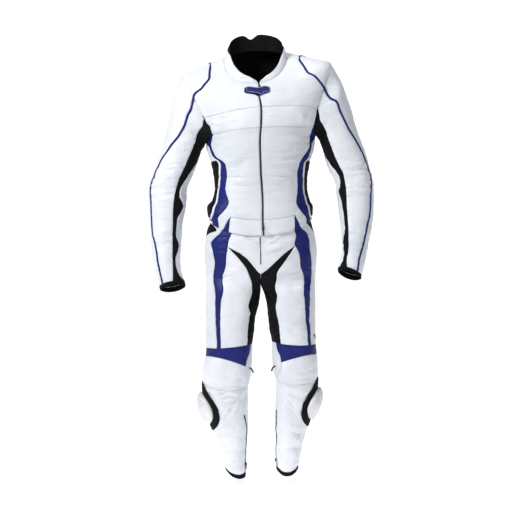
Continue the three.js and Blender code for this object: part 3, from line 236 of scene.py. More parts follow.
# Seams as points of the front view, from the top down
SEAMS = {
    "zip": [(-11, -56), (-10, -96), (-6, -230), (-1, -392), (5, -554)],
    "armholeFront": {
        RIGHT: [
            (-248, -66), (-230, -97), (-211, -135), (-191, -175), (-173, -201), (-167, -221),
            (-172, -238),
        ],
        LEFT: [
            (221, -26), (210, -63), (195, -102), (182, -145), (176, -178), (171, -205),
            (173, -221),
        ],
    },
    "armholeBack": {
        RIGHT: [(-238, -96), (-218, -145), (-201, -195)],
        LEFT: [(211, -62), (195, -110), (186, -165)],
    },
    "bodyPiping": {
        RIGHT: [(-164, -16), (-174, -43), (-198, -73)],
        LEFT: [(141, -6), (158, -26), (185, -46)],
    },
    "stripeInner": {
        RIGHT: [
            (-170, -261), (-155, -297), (-125, -323), (-117, -350), (-122, -403), (-112, -455),
            (-130, -482), (-147, -508),
        ],
        LEFT: [
            (157, -267), (140, -297), (124, -323), (119, -356), (119, -403), (114, -449),
            (132, -482), (148, -508),
        ],
    },
    "stripeOuter": {
        RIGHT: [
            (-177, -267), (-165, -297), (-139, -323), (-139, -363), (-144, -416), (-160, -482),
            (-167, -508),
        ],
        LEFT: [
            (166, -258), (157, -297), (139, -323), (137, -376), (140, -429), (155, -482),
            (160, -508),
        ],
    },
    "wedgeInner": {
        RIGHT: [(-102, -492), (-112, -538)],
        LEFT: [(108, -490), (109, -531)],
    },
    "wedgeOuter": {
        RIGHT: [(-103, -492), (-131, -535)],
        LEFT: [(109, -490), (129, -528)],
    },
    "sleevePiping": {
        RIGHT: [
            (-231, -129), (-240, -153), (-250, -178), (-264, -211), (-279, -236), (-313, -280),
            (-343, -329), (-363, -380), (-367, -442), (-365, -495), (-360, -561), (-348, -614),
            (-340, -667), (-325, -726),
        ],
        LEFT: [
            (237, -112), (259, -153), (282, -201), (299, -228), (333, -289), (355, -349), (360, -409),
            (356, -482), (346, -535), (335, -587), (320, -640), (310, -686),
        ],
    },
    "stretchOuter": {
        RIGHT: [
            (-200, -203), (-218, -244), (-239, -297), (-262, -350), (-282, -403), (-292, -462),
            (-294, -541), (-294, -640), (-294, -719),
        ],
        LEFT: [
            (193, -182), (209, -215), (219, -244), (239, -297), (264, -350), (276, -403), (280, -482),
            (284, -541),
            (280, -627), (280, -667),
        ],
    },
    "stretchInner": {
        RIGHT: [
            (-260, -389), (-271, -429), (-259, -465), (-279, -508), (-282, -561), (-272, -594),
            (-285, -640), (-269, -693), (-256, -719),
        ],
        LEFT: [
            (256, -376), (252, -416), (262, -455), (272, -535), (266, -587), (267, -634),
            (257, -667),
        ],
    },
    "hipPanel": {
        RIGHT: [(-165, -520), (-151, -541), (-182, -576)],
        LEFT: [(150, -516), (163, -535), (173, -571)],
    },
    "thighStripeOuter": {
        RIGHT: [
            (-131, -535), (-140, -552), (-159, -569), (-170, -586), (-164, -613), (-157, -650),
            (-160, -719), (-155, -832), (-150, -920),
        ],
        LEFT: [
            (129, -528), (153, -558), (160, -607), (165, -650), (162, -719), (158, -832),
            (163, -910),
        ],
    },
    "thighStripeInner": {
        RIGHT: [
            (-100, -548), (-111, -574), (-117, -614), (-122, -667), (-130, -719), (-137, -785),
            (-139, -845), (-137, -920),
        ],
        LEFT: [
            (107, -531), (113, -558), (109, -587), (122, -614), (130, -667), (139, -733),
            (144, -812), (153, -912),
        ],
    },
    "innerThigh": {
        RIGHT: [
            (-81, -632), (-50, -673), (-34, -717), (-32, -736), (-43, -790), (-38, -821),
            (-46, -878), (-47, -914),
        ],
        LEFT: [
            (80, -639), (49, -689), (43, -723), (48, -757), (44, -797), (56, -868), (60, -912),
        ],
    },
    "fly": {
        RIGHT: [(-70, -620), (-40, -648)],
        LEFT: [(72, -622), (42, -650)],
    },
    "kneeInner": {
        RIGHT: [(-37, -925), (-39, -943), (-48, -970), (-54, -998)],
        LEFT: [(44, -912), (48, -935), (59, -960), (63, -985)],
    },
    "calfZip": {
        RIGHT: [
            (-46, -1062), (-55, -1110), (-58, -1150), (-49, -1206), (-52, -1273), (-56, -1338),
        ],
        LEFT: [(47, -1040), (47, -1110), (46, -1180), (46, -1234), (46, -1280), (48, -1320)],
    },
}
ZIP_HALF_WIDTH = 2.7


class Fold(NamedTuple):
    """A ridge of the front between two points of the front view; a hollow if high is negative."""

    x0: float
    z0: float
    x1: float
    z1: float
    wide: float
    high: float


FOLDS = [
    Fold(-135, -160, -160, -205, 16, 3),
    Fold(115, -140, 150, -180, 16, 3),
    Fold(-112, -320, -52, -285, 18, 3.5),
    Fold(-106, -366, -60, -327, 16, -3),
    Fold(100, -345, 60, -315, 16, 2.5),
    Fold(-343, -366, -290, -356, 15, 4),
    Fold(-340, -396, -285, -392, 14, -3),
    Fold(277, -353, 337, -366, 15, 4),
    Fold(284, -384, 343, -353, 14, -3),
    Fold(-350, -560, -300, -540, 16, 2.5),
    Fold(290, -540, 345, -560, 16, 2.5),
    Fold(-96, -571, -20, -584, 13, 3.5),
    Fold(-86, -600, -13, -607, 13, -3),
    Fold(26, -607, 92, -574, 13, 3.5),
    Fold(-119, -690, -79, -673, 15, 3),
    Fold(53, -686, 119, -653, 15, 3),
    Fold(-132, -838, -99, -865, 16, 3),
    Fold(79, -838, 132, -871, 16, 3),
    Fold(-152, -1066, -99, -1079, 12, 4),
    Fold(-150, -1092, -92, -1100, 12, -3),
    Fold(66, -1056, 125, -1066, 12, 4),
    Fold(-145, -1224, -86, -1228, 13, 4),
    Fold(-139, -1274, -92, -1280, 12, 3),
    Fold(59, -1244, 112, -1234, 13, 4),
    Fold(59, -1280, 106, -1287, 12, 3),
]

# Small creases that the leather and the cloth keep where the wearer bends
CREASING = 1.5
CREASES = [
    Fold(-128, -108, -88, -150, 5, -1.1),
    Fold(-150, -60, -118, -110, 6, -1.0),
    Fold(-66, -26, -20, -58, 4, -0.9),
    Fold(-84, -12, -100, 28, 4, -0.8),
    Fold(52, -40, 80, -4, 5, -0.8),
    Fold(-164, -150, -140, -190, 4, -1.2),
    Fold(-150, -180, -132, -226, 5, -1.2),
    Fold(152, -150, 138, -200, 5, -1.2),
    Fold(-112, -342, -62, -318, 5, -1.3),
    Fold(-116, -392, -70, -360, 5, -1.2),
    Fold(-92, -418, -56, -398, 5, -0.9),
    Fold(98, -372, 66, -340, 5, -1.0),
    Fold(-356, -352, -306, -344, 4, -1.3),
    Fold(-352, -380, -296, -374, 4, -1.5),
    Fold(-346, -410, -300, -412, 4, -1.1),
    Fold(284, -340, 330, -348, 4, -1.3),
    Fold(280, -368, 346, -360, 4, -1.5),
    Fold(292, -402, 350, -378, 4, -1.1),
    Fold(-258, -330, -240, -360, 4, -1.2),
    Fold(-262, -420, -250, -446, 4, -1.2),
    Fold(256, -410, 246, -436, 4, -1.2),
    Fold(-340, -600, -306, -580, 5, -1.0),
    Fold(300, -590, 336, -610, 5, -1.0),
    Fold(-100, -560, -30, -566, 4, -1.2),
    Fold(-70, -618, -16, -640, 4, -1.1),
    Fold(18, -630, 66, -606, 4, -1.2),
    Fold(34, -566, 98, -556, 4, -1.0),
    Fold(-128, -676, -84, -660, 5, -1.1),
    Fold(-120, -716, -70, -700, 5, -1.0),
    Fold(60, -700, 124, -672, 5, -1.2),
    Fold(64, -792, 138, -800, 4, -1.4),
    Fold(-132, -800, -96, -822, 5, -1.0),
    Fold(-128, -872, -80, -884, 4, -1.0),
    Fold(84, -868, 140, -890, 5, -1.1),
    Fold(-150, -1078, -84, -1090, 4, -1.6),
    Fold(-140, -1112, -96, -1108, 4, -1.1),
    Fold(-100, -1092, -64, -1070, 4, -1.3),
    Fold(64, -1044, 118, -1052, 4, -1.4),
    Fold(70, -1074, 112, -1090, 4, -1.2),
    Fold(-150, -1216, -92, -1222, 4, -1.6),
    Fold(-140, -1238, -90, -1240, 4, -1.0),
    Fold(-140, -1266, -84, -1272, 4, -1.3),
    Fold(-130, -1296, -90, -1300, 4, -0.9),
    Fold(62, -1236, 124, -1226, 4, -1.5),
    Fold(60, -1262, 112, -1258, 4, -1.0),
    Fold(62, -1294, 108, -1296, 4, -1.1),
    Fold(-168, -1084, -132, -1092, 5, 2.0),
    Fold(-150, -1062, -124, -1078, 4, -2.2),
    Fold(-134, -1082, -104, -1072, 4, -2.0),
    Fold(-128, -1100, -96, -1092, 4, -2.2),
    Fold(-118, -1112, -86, -1082, 5, 2.2),
    Fold(-104, -1136, -78, -1092, 5, -2.4),
    Fold(-124, -1168, -88, -1124, 5, -1.8),
    Fold(-146, -1206, -96, -1196, 4, 2.6),
    Fold(-160, -1212, -118, -1222, 5, -2.6),
    Fold(-150, -1226, -132, -1240, 4, 2.0),
    Fold(168, -1076, 128, -1080, 5, 2.0),
    Fold(146, -1056, 118, -1070, 4, -2.2),
    Fold(126, -1094, 92, -1084, 4, -2.2),
    Fold(104, -1128, 76, -1086, 5, -2.2),
    Fold(120, -1164, 84, -1120, 5, -1.8),
    Fold(142, -1196, 92, -1190, 4, 2.4),
    Fold(150, -1210, 110, -1216, 5, -2.4),
    Fold(-366, -396, -330, -386, 5, 2.2),
    Fold(-352, -430, -300, -424, 5, -1.8),
    Fold(-330, -330, -286, -322, 5, -1.8),
    Fold(352, -392, 318, -378, 5, 2.2),
    Fold(346, -424, 296, -414, 5, -1.8),
    Fold(322, -318, 278, -312, 5, -1.8),
    Fold(-62, -566, -24, -590, 5, 2.0),
    Fold(58, -560, 22, -586, 5, 2.0),
    Fold(-128, -770, -84, -790, 6, -1.6),
    Fold(72, -760, 128, -778, 6, -1.6),
    Fold(-150, -1010, -100, -1024, 6, -1.4),
    Fold(96, -1000, 150, -1016, 6, -1.4),
]


def fold_height(x: np.ndarray, z: np.ndarray, folds: Iterable[Fold]) -> np.ndarray:
    """Returns how far folds lift the front at points of the front view."""
    total = np.zeros_like(x)
    for fold in folds:
        dx, dz = fold.x1 - fold.x0, fold.z1 - fold.z0
        along = ((x - fold.x0) * dx + (z - fold.z0) * dz) / (dx * dx + dz * dz)
        along = np.clip(along, 0, 1)
        off = np.hypot(x - fold.x0 - along * dx, z - fold.z0 - along * dz) / fold.wide
        total += fold.high * np.exp(-np.minimum(off, 6) ** 2)
    return total


class Crinkle(NamedTuple):
    """Where the leather and cloth crease more, round a place of the front view."""

    x: float
    z: float
    across: float
    down: float
    much: float


CRINKLES = [
    Crinkle(-320, -375, 80, 70, 1.0),
    Crinkle(320, -365, 80, 70, 1.0),
    Crinkle(-320, -590, 70, 90, 0.5),
    Crinkle(310, -580, 70, 90, 0.5),
    Crinkle(-180, -215, 60, 70, 0.7),
    Crinkle(180, -200, 60, 70, 0.7),
    Crinkle(-90, -350, 70, 70, 0.8),
    Crinkle(85, -350, 70, 70, 0.7),
    Crinkle(0, -590, 110, 60, 0.9),
    Crinkle(-110, -700, 70, 60, 0.6),
    Crinkle(110, -700, 70, 60, 0.6),
    Crinkle(-110, -850, 80, 60, 0.5),
    Crinkle(110, -850, 80, 60, 0.5),
    Crinkle(-115, -1090, 90, 60, 1.0),
    Crinkle(110, -1075, 90, 60, 1.0),
    Crinkle(-100, -1250, 70, 70, 1.0),
    Crinkle(90, -1250, 70, 70, 1.0),
]
CREASED_EVERYWHERE = 0.28


def creased(x: np.ndarray, z: np.ndarray) -> np.ndarray:
    """Returns how much the suit creases at points of the front view, from 0 to 1."""
    most = np.full_like(x, CREASED_EVERYWHERE)
    for spot in CRINKLES:
        off = ((x - spot.x) / spot.across) ** 2 + ((z - spot.z) / spot.down) ** 2
        most = np.maximum(most, CREASED_EVERYWHERE + spot.much * np.exp(-off))
    return np.minimum(most, 1.0)


def lattice(cells: np.ndarray) -> np.ndarray:
    """Returns an even random value for each whole cell of space."""
    x, y, z = (cells[..., k].astype(np.uint32) for k in range(3))
    mixed = x * np.uint32(374761393) + y * np.uint32(668265263) + z * np.uint32(2147483647)
    mixed = (mixed ^ (mixed >> np.uint32(13))) * np.uint32(1274126177)
    return ((mixed ^ (mixed >> np.uint32(16))) & np.uint32(0xFFFFFF)) / 0xFFFFFF


def soft_noise(places: np.ndarray) -> np.ndarray:
    """Returns a smooth noise from 0 to 1, one bump or hollow to each unit of space."""
    cells = np.floor(places).astype(np.int64)
    share = places - cells
    share = share * share * (3 - 2 * share)
    total = np.zeros(len(places))
    for corner in np.ndindex(2, 2, 2):
        step = np.array(corner)
        weight = np.prod(np.where(step, share, 1 - share), axis=1)
        total += weight * lattice(cells + step)
    return total


def valleys(places: np.ndarray) -> np.ndarray:
    """Returns 1 along the middle of winding lines in space, and 0 away from them."""
    fold = np.abs(soft_noise(places) * 2 - 1)
    return np.clip(1 - fold / 0.45, 0, 1) ** 1.5


def crease_depth(points: np.ndarray, much: np.ndarray) -> np.ndarray:
    """Returns how deep creases cut into the suit.

    Args:
        points: Places in space, in millimetres.
        much: How much the suit creases at each.

    Returns:
        Depths in millimetres.
    """
    bent = points + 14 * soft_noise(points / 70)[:, None]
    wide = valleys(bent / np.array([74, 74, 27]))
    fine = valleys(bent / np.array([46, 46, 14]) + 31.7)
    return much * (3.2 * wide + 1.6 * fine)


def smoothstep(value: np.ndarray, low: float, high: float) -> np.ndarray:
    """Returns 0 below low, 1 above high and a smooth rise between."""
    t = np.clip((value - low) / (high - low), 0, 1)
    return t * t * (3 - 2 * t)


def unit(vectors: np.ndarray) -> np.ndarray:
    """Returns vectors with a length of one."""
    length = np.linalg.norm(vectors, axis=-1, keepdims=True)
    return vectors / np.maximum(length, 1e-9)


def power(value: np.ndarray) -> np.ndarray:
    """Returns a sine or cosine squared off to the suit's fullness."""
    return np.sign(value) * np.abs(value) ** (2 / FULLNESS)


def ring_points(ring: Ring, angles: np.ndarray) -> Spots:
    """Returns points of a ring: -90 is edge a, 0 the front, 90 edge b and 180 the back."""
    turn = np.radians(angles)
    across = power(np.sin(turn))
    forward = power(np.cos(turn))
    share = (1 + across) / 2
    reach = np.abs(forward)
    front = forward >= 0
    middle = (ring.az + ring.bz) / 2
    z_end = np.where(front, ring.zf, ring.zb)
    y_end = np.where(front, ring.yf, ring.yb)
    x = ring.ax + (ring.bx - ring.ax) * share
    y = ring.ys + (y_end - ring.ys) * reach
    z = ring.az + (ring.bz - ring.az) * share + (z_end - middle) * reach**ring.bend
    return np.column_stack([x, y, z, forward])


def in_space(spots: Spots) -> np.ndarray:
    """Returns points of the front view where they are in space."""
    scale = 1 + spots[:, 1] / VIEW_DISTANCE
    x = AXIS_X + (spots[:, 0] - AXIS_X) * scale
    z = AXIS_Z + (spots[:, 2] - AXIS_Z) * scale
    return np.column_stack([x, spots[:, 1], z])


def smooth(knots: Sequence[tuple[float, float]]) -> Course:
    """Returns a smooth curve through knots (place, value) that never swings past them."""
    slopes = [(b[1] - a[1]) / (b[0] - a[0]) for a, b in zip(knots, knots[1:])]
    tangents = [slopes[0]]
    for before, after in zip(slopes, slopes[1:]):
        turning = before * after <= 0
        tangents.append(0.0 if turning else 2 * before * after / (before + after))
    tangents.append(slopes[-1])

    def value(place: float) -> float:
        i = 0
        while i < len(knots) - 2 and place > knots[i + 1][0]:
            i += 1
        (v0, a0), (v1, a1) = knots[i], knots[i + 1]
        width = v1 - v0
        t = min(max((place - v0) / width, 0.0), 1.0)
        t2, t3 = t * t, t * t * t
        rest = width * (tangents[i] * (t3 - 2 * t2 + t) + tangents[i + 1] * (t3 - t2))
        return a0 * (2 * t3 - 3 * t2 + 1) + a1 * (3 * t2 - 2 * t3) + rest

    return value


def wrapped(angle: float) -> float:
    """Returns the angle between -180 and 180."""
    return (angle + 180) % 360 - 180


def constant(value: float) -> Course:
    """Returns a seam that keeps to one angle."""
    return lambda level: value


def behind(course: Course) -> Course:
    """Returns a seam's angle counted round past the back."""
    return lambda level: course(level) + 360


@dataclass
class Seam:
    """A seam that runs down a tube between two levels."""

    at: Course
    start: float
    end: float


@dataclass
class Tube:
    """A tube of the suit: rings from the top down, with a smooth wall through them.

    Attributes:
        rings: A function for each ring, from angles to points, nan where there is no wall.
        levels: The levels at which the wall gets a row of points.
        step: Degrees between two columns of points.
        turn: 1, or -1 where angles run the other way round.
        edge: Degrees from a seam to the two extra columns beside it.
        scale: Millimetres to a degree, for the cloth's own coordinates.
    """

    rings: list[Callable[[np.ndarray], Spots]]
    levels: list[float]
    step: float
    turn: int
    edge: float
    scale: float
    seams: list[Seam] = field(default_factory=list)
    known: dict[tuple[float, int], list[float]] = field(default_factory=dict)

    def ring(self, index: int, angles: np.ndarray) -> Spots:
        """Returns points of a ring, or nan beyond the ends."""
        if 0 <= index < len(self.rings):
            return self.rings[index](angles)
        return np.full((len(angles), 4), np.nan)

    def reach(self, angles: np.ndarray, index: int) -> np.ndarray:
        """Returns how far the rings beyond one shape the wall before it."""
        return np.ones(len(angles))

    def smooth_points(self, angles: np.ndarray, level: float) -> Spots:
        """Returns points of the wall without its folds."""
        angles = np.asarray(angles, float)
        i = min(int(level + 1e-9), len(self.rings) - 2)
        t = level - i
        p1 = self.ring(i, angles)
        if abs(t) < 1e-9:
            return p1
        p2 = self.ring(i + 1, angles)
        before = self.ring(i - 1, angles)
        p0 = np.where(np.isnan(before), 2 * p1 - p2, before)
        ahead = 2 * p2 - p1
        after = self.ring(i + 2, angles)
        after = np.where(np.isnan(after), ahead, after)
        p3 = ahead + (after - ahead) * self.reach(angles, i + 1)[:, None]
        bow = 2 * p0 - 5 * p1 + 4 * p2 - p3
        return p1 + 0.5 * t * (p2 - p0 + t * (bow + t * (3 * (p1 - p2) + p3 - p0)))

    def drawn(self, angles: np.ndarray, level: float) -> Spots:
        """Returns points of the wall with the suit's large folds."""
        spots = self.smooth_points(angles, level)
        lift = fold_height(spots[:, 0], spots[:, 2], FOLDS)
        lift += CREASING * fold_height(spots[:, 0], spots[:, 2], CREASES)
        spots[:, 1] -= smoothstep(spots[:, 3], 0.1, 0.5) * lift
        return spots

    def point(self, angle: float, level: float) -> np.ndarray:
        """Returns one point in space."""
        return in_space(self.drawn(np.array([angle]), level))[0]

    def surface(self, angles: np.ndarray, level: float) -> tuple[np.ndarray, np.ndarray]:
        """Returns points in space at angles of one level, and the directions they face."""
        small = 0.03
        low = max(level - small, self.levels[0])
        high = min(level + small, self.levels[-1])
        angles = np.asarray(angles, float)
        down = in_space(self.drawn(angles, high)) - in_space(self.drawn(angles, low))
        ahead, before = self.drawn(angles + 1, level), self.drawn(angles - 1, level)
        across = in_space(ahead) - in_space(before)
        return in_space(self.drawn(angles, level)), unit(np.cross(down, across) * self.turn)

    def outward(self, angle: float, level: float) -> np.ndarray:
        """Returns the direction that the wall faces."""
        return self.surface(np.array([angle]), level)[1][0]

    def pin(
        self, x: float, z: float, angles: Sequence[float], levels: Sequence[float]
    ) -> tuple[float, float]:
        """Returns the level and angle whose point is nearest to (x, z) in the front view."""
        low_a, high_a = angles
        low_v, high_v = levels
        best = (math.inf, 0.0, 0.0)
        for _ in range(7):
            columns = np.linspace(low_a, high_a, 21)
            for level in np.linspace(low_v, high_v, 21):
                spots = self.smooth_points(columns, float(level))
                miss = (spots[:, 0] - x) ** 2 + (spots[:, 2] - z) ** 2
                miss = np.where(np.isnan(miss), math.inf, miss)
                k = int(np.argmin(miss))
                if miss[k] < best[0]:
                    best = (float(miss[k]), float(level), float(columns[k]))
            half_a, half_v = (high_a - low_a) / 6, (high_v - low_v) / 6
            low_a, high_a = max(best[2] - half_a, angles[0]), min(best[2] + half_a, angles[1])
            low_v, high_v = max(best[1] - half_v, levels[0]), min(best[1] + half_v, levels[1])
        return best[1], best[2]

    def seam(
        self,
        points: Sequence[tuple[float, float]],
        angles: Sequence[float],
        levels: Sequence[float],
        first: float | None = None,
        last: float | None = None,
    ) -> Course:
        """Adds the seam through points of the front view and returns its course."""
        pins = sorted(self.pin(x, z, angles, levels) for x, z in points)
        pins = [p for p in pins if levels[0] + 0.05 < p[0] < levels[1] - 0.05]
        knots = [p for i, p in enumerate(pins) if i == 0 or p[0] - pins[i - 1][0] > 0.05]
        if first is not None:
            knots.insert(0, (levels[0], first))
        if last is not None:
            knots.append((levels[1], last))
        return self.add_seam(smooth(knots), levels)

    def add_seam(self, at: Course, levels: Sequence[float]) -> Course:
        """Adds a seam by its course, and returns it."""
        self.seams.append(Seam(at, levels[0], levels[1]))
        return at

    def stops(self, level: float) -> list[float]:
        """Returns every angle that has a point at a level."""
        key = (round(level, 6), len(self.seams))
        if key not in self.known:
            self.known[key] = self._stops(level)
        return self.known[key]

    def _stops(self, level: float) -> list[float]:
        crossings = [wrapped(s.at(level)) for s in self.seams if s.start <= level <= s.end]
        beside = [c + k * self.edge for c in crossings for k in (-1.7, -0.7, 0.7, 1.7)]
        beside = [
            b
            for b in beside
            if all(abs(wrapped(c - b)) > self.edge * 0.45 for c in crossings)
        ]
        taken = np.array(crossings + beside) if crossings else np.zeros(0)
        columns = np.arange(-180, 180 - 1e-6, self.step)
        if len(taken):
            gaps = np.abs((columns[:, None] - taken[None, :] + 180) % 360 - 180)
            columns = columns[gaps.min(axis=1) > self.edge * 0.6]
        return [*crossings, *beside, *columns.tolist()]


@dataclass
class Cloth:
    """The faces of one panel, and the cloth's own coordinates at its points."""

    faces: list[tuple[int, int, int]] = field(default_factory=list)
    corners: list[tuple] = field(default_factory=list)
    levels: list[float] = field(default_factory=list)
    widths: dict[float, float] = field(default_factory=dict)


class Row(NamedTuple):
    """A row of points across a band, at one level."""

    level: float
    ids: list[int]
    angles: list[float]
    uv: list[tuple[float, float]]


class Skin:
    """Holds every point of every panel once, so that panels meet at the same points."""

    def __init__(self) -> None:
        self.index: dict[tuple[int, int, int], int] = {}
        self.positions: list[np.ndarray] = []
        self.drawn: list[np.ndarray] = []
        self.panels: dict[str, Cloth] = {}
        self.points = np.zeros((0, 3))
        self.normals = np.zeros((0, 3))
        self.creased = np.zeros(0)

    def vertices(self, tube: Tube, angles: np.ndarray, level: float) -> list[int]:
        """Returns the indices of points at angles of one level, adding the new ones."""
        spots = tube.drawn(angles, level)
        places = in_space(spots)
        keys = np.floor(places / SAME_POINT + 0.137).astype(np.int64)
        found = []
        for key, place, spot in zip(map(tuple, keys.tolist()), places, spots):
            if key not in self.index:
                self.index[key] = len(self.positions)
                self.positions.append(place)
                self.drawn.append(spot)
            found.append(self.index[key])
        return found

    def band(
        self, name: str, tube: Tube, start: float, end: float, left: Course, right: Course
    ) -> None:
        """Adds a band of a panel: the wall between two levels and two seams."""
        cloth = self.panels.setdefault(name, Cloth())
        shift = -360 if (left(start) + right(start)) / 2 > 115 else 0
        rows = []
        for level in tube.levels:
            if not start - 1e-9 <= level <= end + 1e-9:
                continue
            low, high = left(level), right(level)
            near = tube.edge * 0.25
            inside = {
                round(stop + turn, 5)
                for stop in tube.stops(level)
                for turn in (-720, -360, 0, 360, 720)
                if low + near < stop + turn < high - near
            }
            angles = np.array([low, *sorted(inside), high])
            ids = self.vertices(tube, angles, level)
            spots = np.array([self.positions[i] for i in ids])
            across = float(np.linalg.norm(np.diff(spots, axis=0), axis=1).sum())
            cloth.widths[level] = cloth.widths.get(level, 0.0) + across
            uv = [((a + shift) * tube.scale, -level * 42.0) for a in angles.tolist()]
            rows.append(Row(level, ids, angles.tolist(), uv))
        for upper, lower in zip(rows, rows[1:]):
            self._zipper(cloth, upper, lower, tube.turn)

    @staticmethod
    def _zipper(cloth: Cloth, upper: Row, lower: Row, turn: int) -> None:
        i = j = 0
        last_upper, last_lower = len(upper.ids) - 1, len(lower.ids) - 1
        while i < last_upper or j < last_lower:
            ahead = i < last_upper and (j == last_lower or upper.angles[i + 1] <= lower.angles[j + 1])
            third = (upper, i + 1) if ahead else (lower, j + 1)
            corners = [(upper, i), (lower, j), third]
            if ahead:
                i += 1
            else:
                j += 1
            if turn < 0:
                corners[1], corners[2] = corners[2], corners[1]
            face = tuple(row.ids[k] for row, k in corners)
            if len(set(face)) == 3:
                cloth.faces.append(face)
                cloth.corners.append(tuple(row.uv[k] for row, k in corners))
                cloth.levels.append(upper.level)

    def finish(self) -> None:
        """Works out the direction that every point faces, over all the panels that share it."""
        self.points = np.array(self.positions)
        faces = np.array([f for cloth in self.panels.values() for f in cloth.faces])
        a, b, c = (self.points[faces[:, k]] for k in range(3))
        area = np.cross(b - a, c - a)
        self.normals = np.zeros_like(self.points)
        for k in range(3):
            np.add.at(self.normals, faces[:, k], area)
        length = np.linalg.norm(self.normals, axis=1, keepdims=True)
        self.normals /= np.maximum(length, 1e-12)
        spots = np.array(self.drawn)
        ahead = smoothstep(spots[:, 3], -0.6, 0.4)
        self.creased = creased(spots[:, 0], spots[:, 2]) * (0.5 + 0.5 * ahead)
        self.points -= self.normals * crease_depth(self.points, self.creased)[:, None]

    def rim(self, name: str) -> np.ndarray:
        """Returns the edges of a panel's outline, in the direction of its faces."""
        faces = np.array(self.panels[name].faces)
        edges = np.concatenate([faces[:, [0, 1]], faces[:, [1, 2]], faces[:, [2, 0]]])
        count = len(self.points)
        forward = edges[:, 0] * count + edges[:, 1]
        backward = edges[:, 1] * count + edges[:, 0]
        return edges[~np.isin(forward, backward)]


JACKET_STEP = 0.1
SLEEVE_STEP = 0.1
LEG_STEP = 0.1
SIDE_SEAM = 115
CENTRE_FRONT = 60
CENTRE_BACK = -240
INSEAM = 115
OUTSEAM = -100


def rows_between(start: float, end: float, step: float, seams: Iterable[float]) -> list[float]:
    """Returns levels with an even step, and two more on each side of each level seam."""
    near = 0.055
    beside = [s + k * near for s in seams for k in (-1, -0.4, 0, 0.4, 1)]
    beside = [b for b in beside if start <= b <= end]
    even = np.arange(start, end + step / 2, step).tolist()
    even = [v for v in even if all(abs(v - b) > near * 0.7 for b in beside)]
    levels = sorted({round(v, 5) for v in [*beside, *even, start, end]})
    return levels


class Leg(Tube):
    """A leg with its half of the hips."""

    def reach(self, angles: np.ndarray, index: int) -> np.ndarray:
        """Returns no reach past the crotch where the two legs share their centre seams."""
        if index != 6:
            return np.ones(len(angles))
        front = np.abs(angles - CENTRE_FRONT)
        back = np.abs(angles - CENTRE_BACK)
        return smoothstep(np.minimum(front, back), 0, 20)


def crotch_points(share: np.ndarray) -> Spots:
    """Returns points from the front's middle to the back's, under the crotch."""
    ring = TROUSER_RINGS[-1]
    front, back = ring_points(ring, np.array([0.0, 180.0]))
    dip = np.sin(np.pi * share) ** 0.7
    spots = front + (back - front) * share[:, None]
    spots[:, 1] = front[1] + (back[1] - front[1]) * (1 - np.cos(np.pi * share)) / 2
    spots[:, 2] += (CROTCH_Z - (front[2] + back[2]) / 2) * dip
    return spots


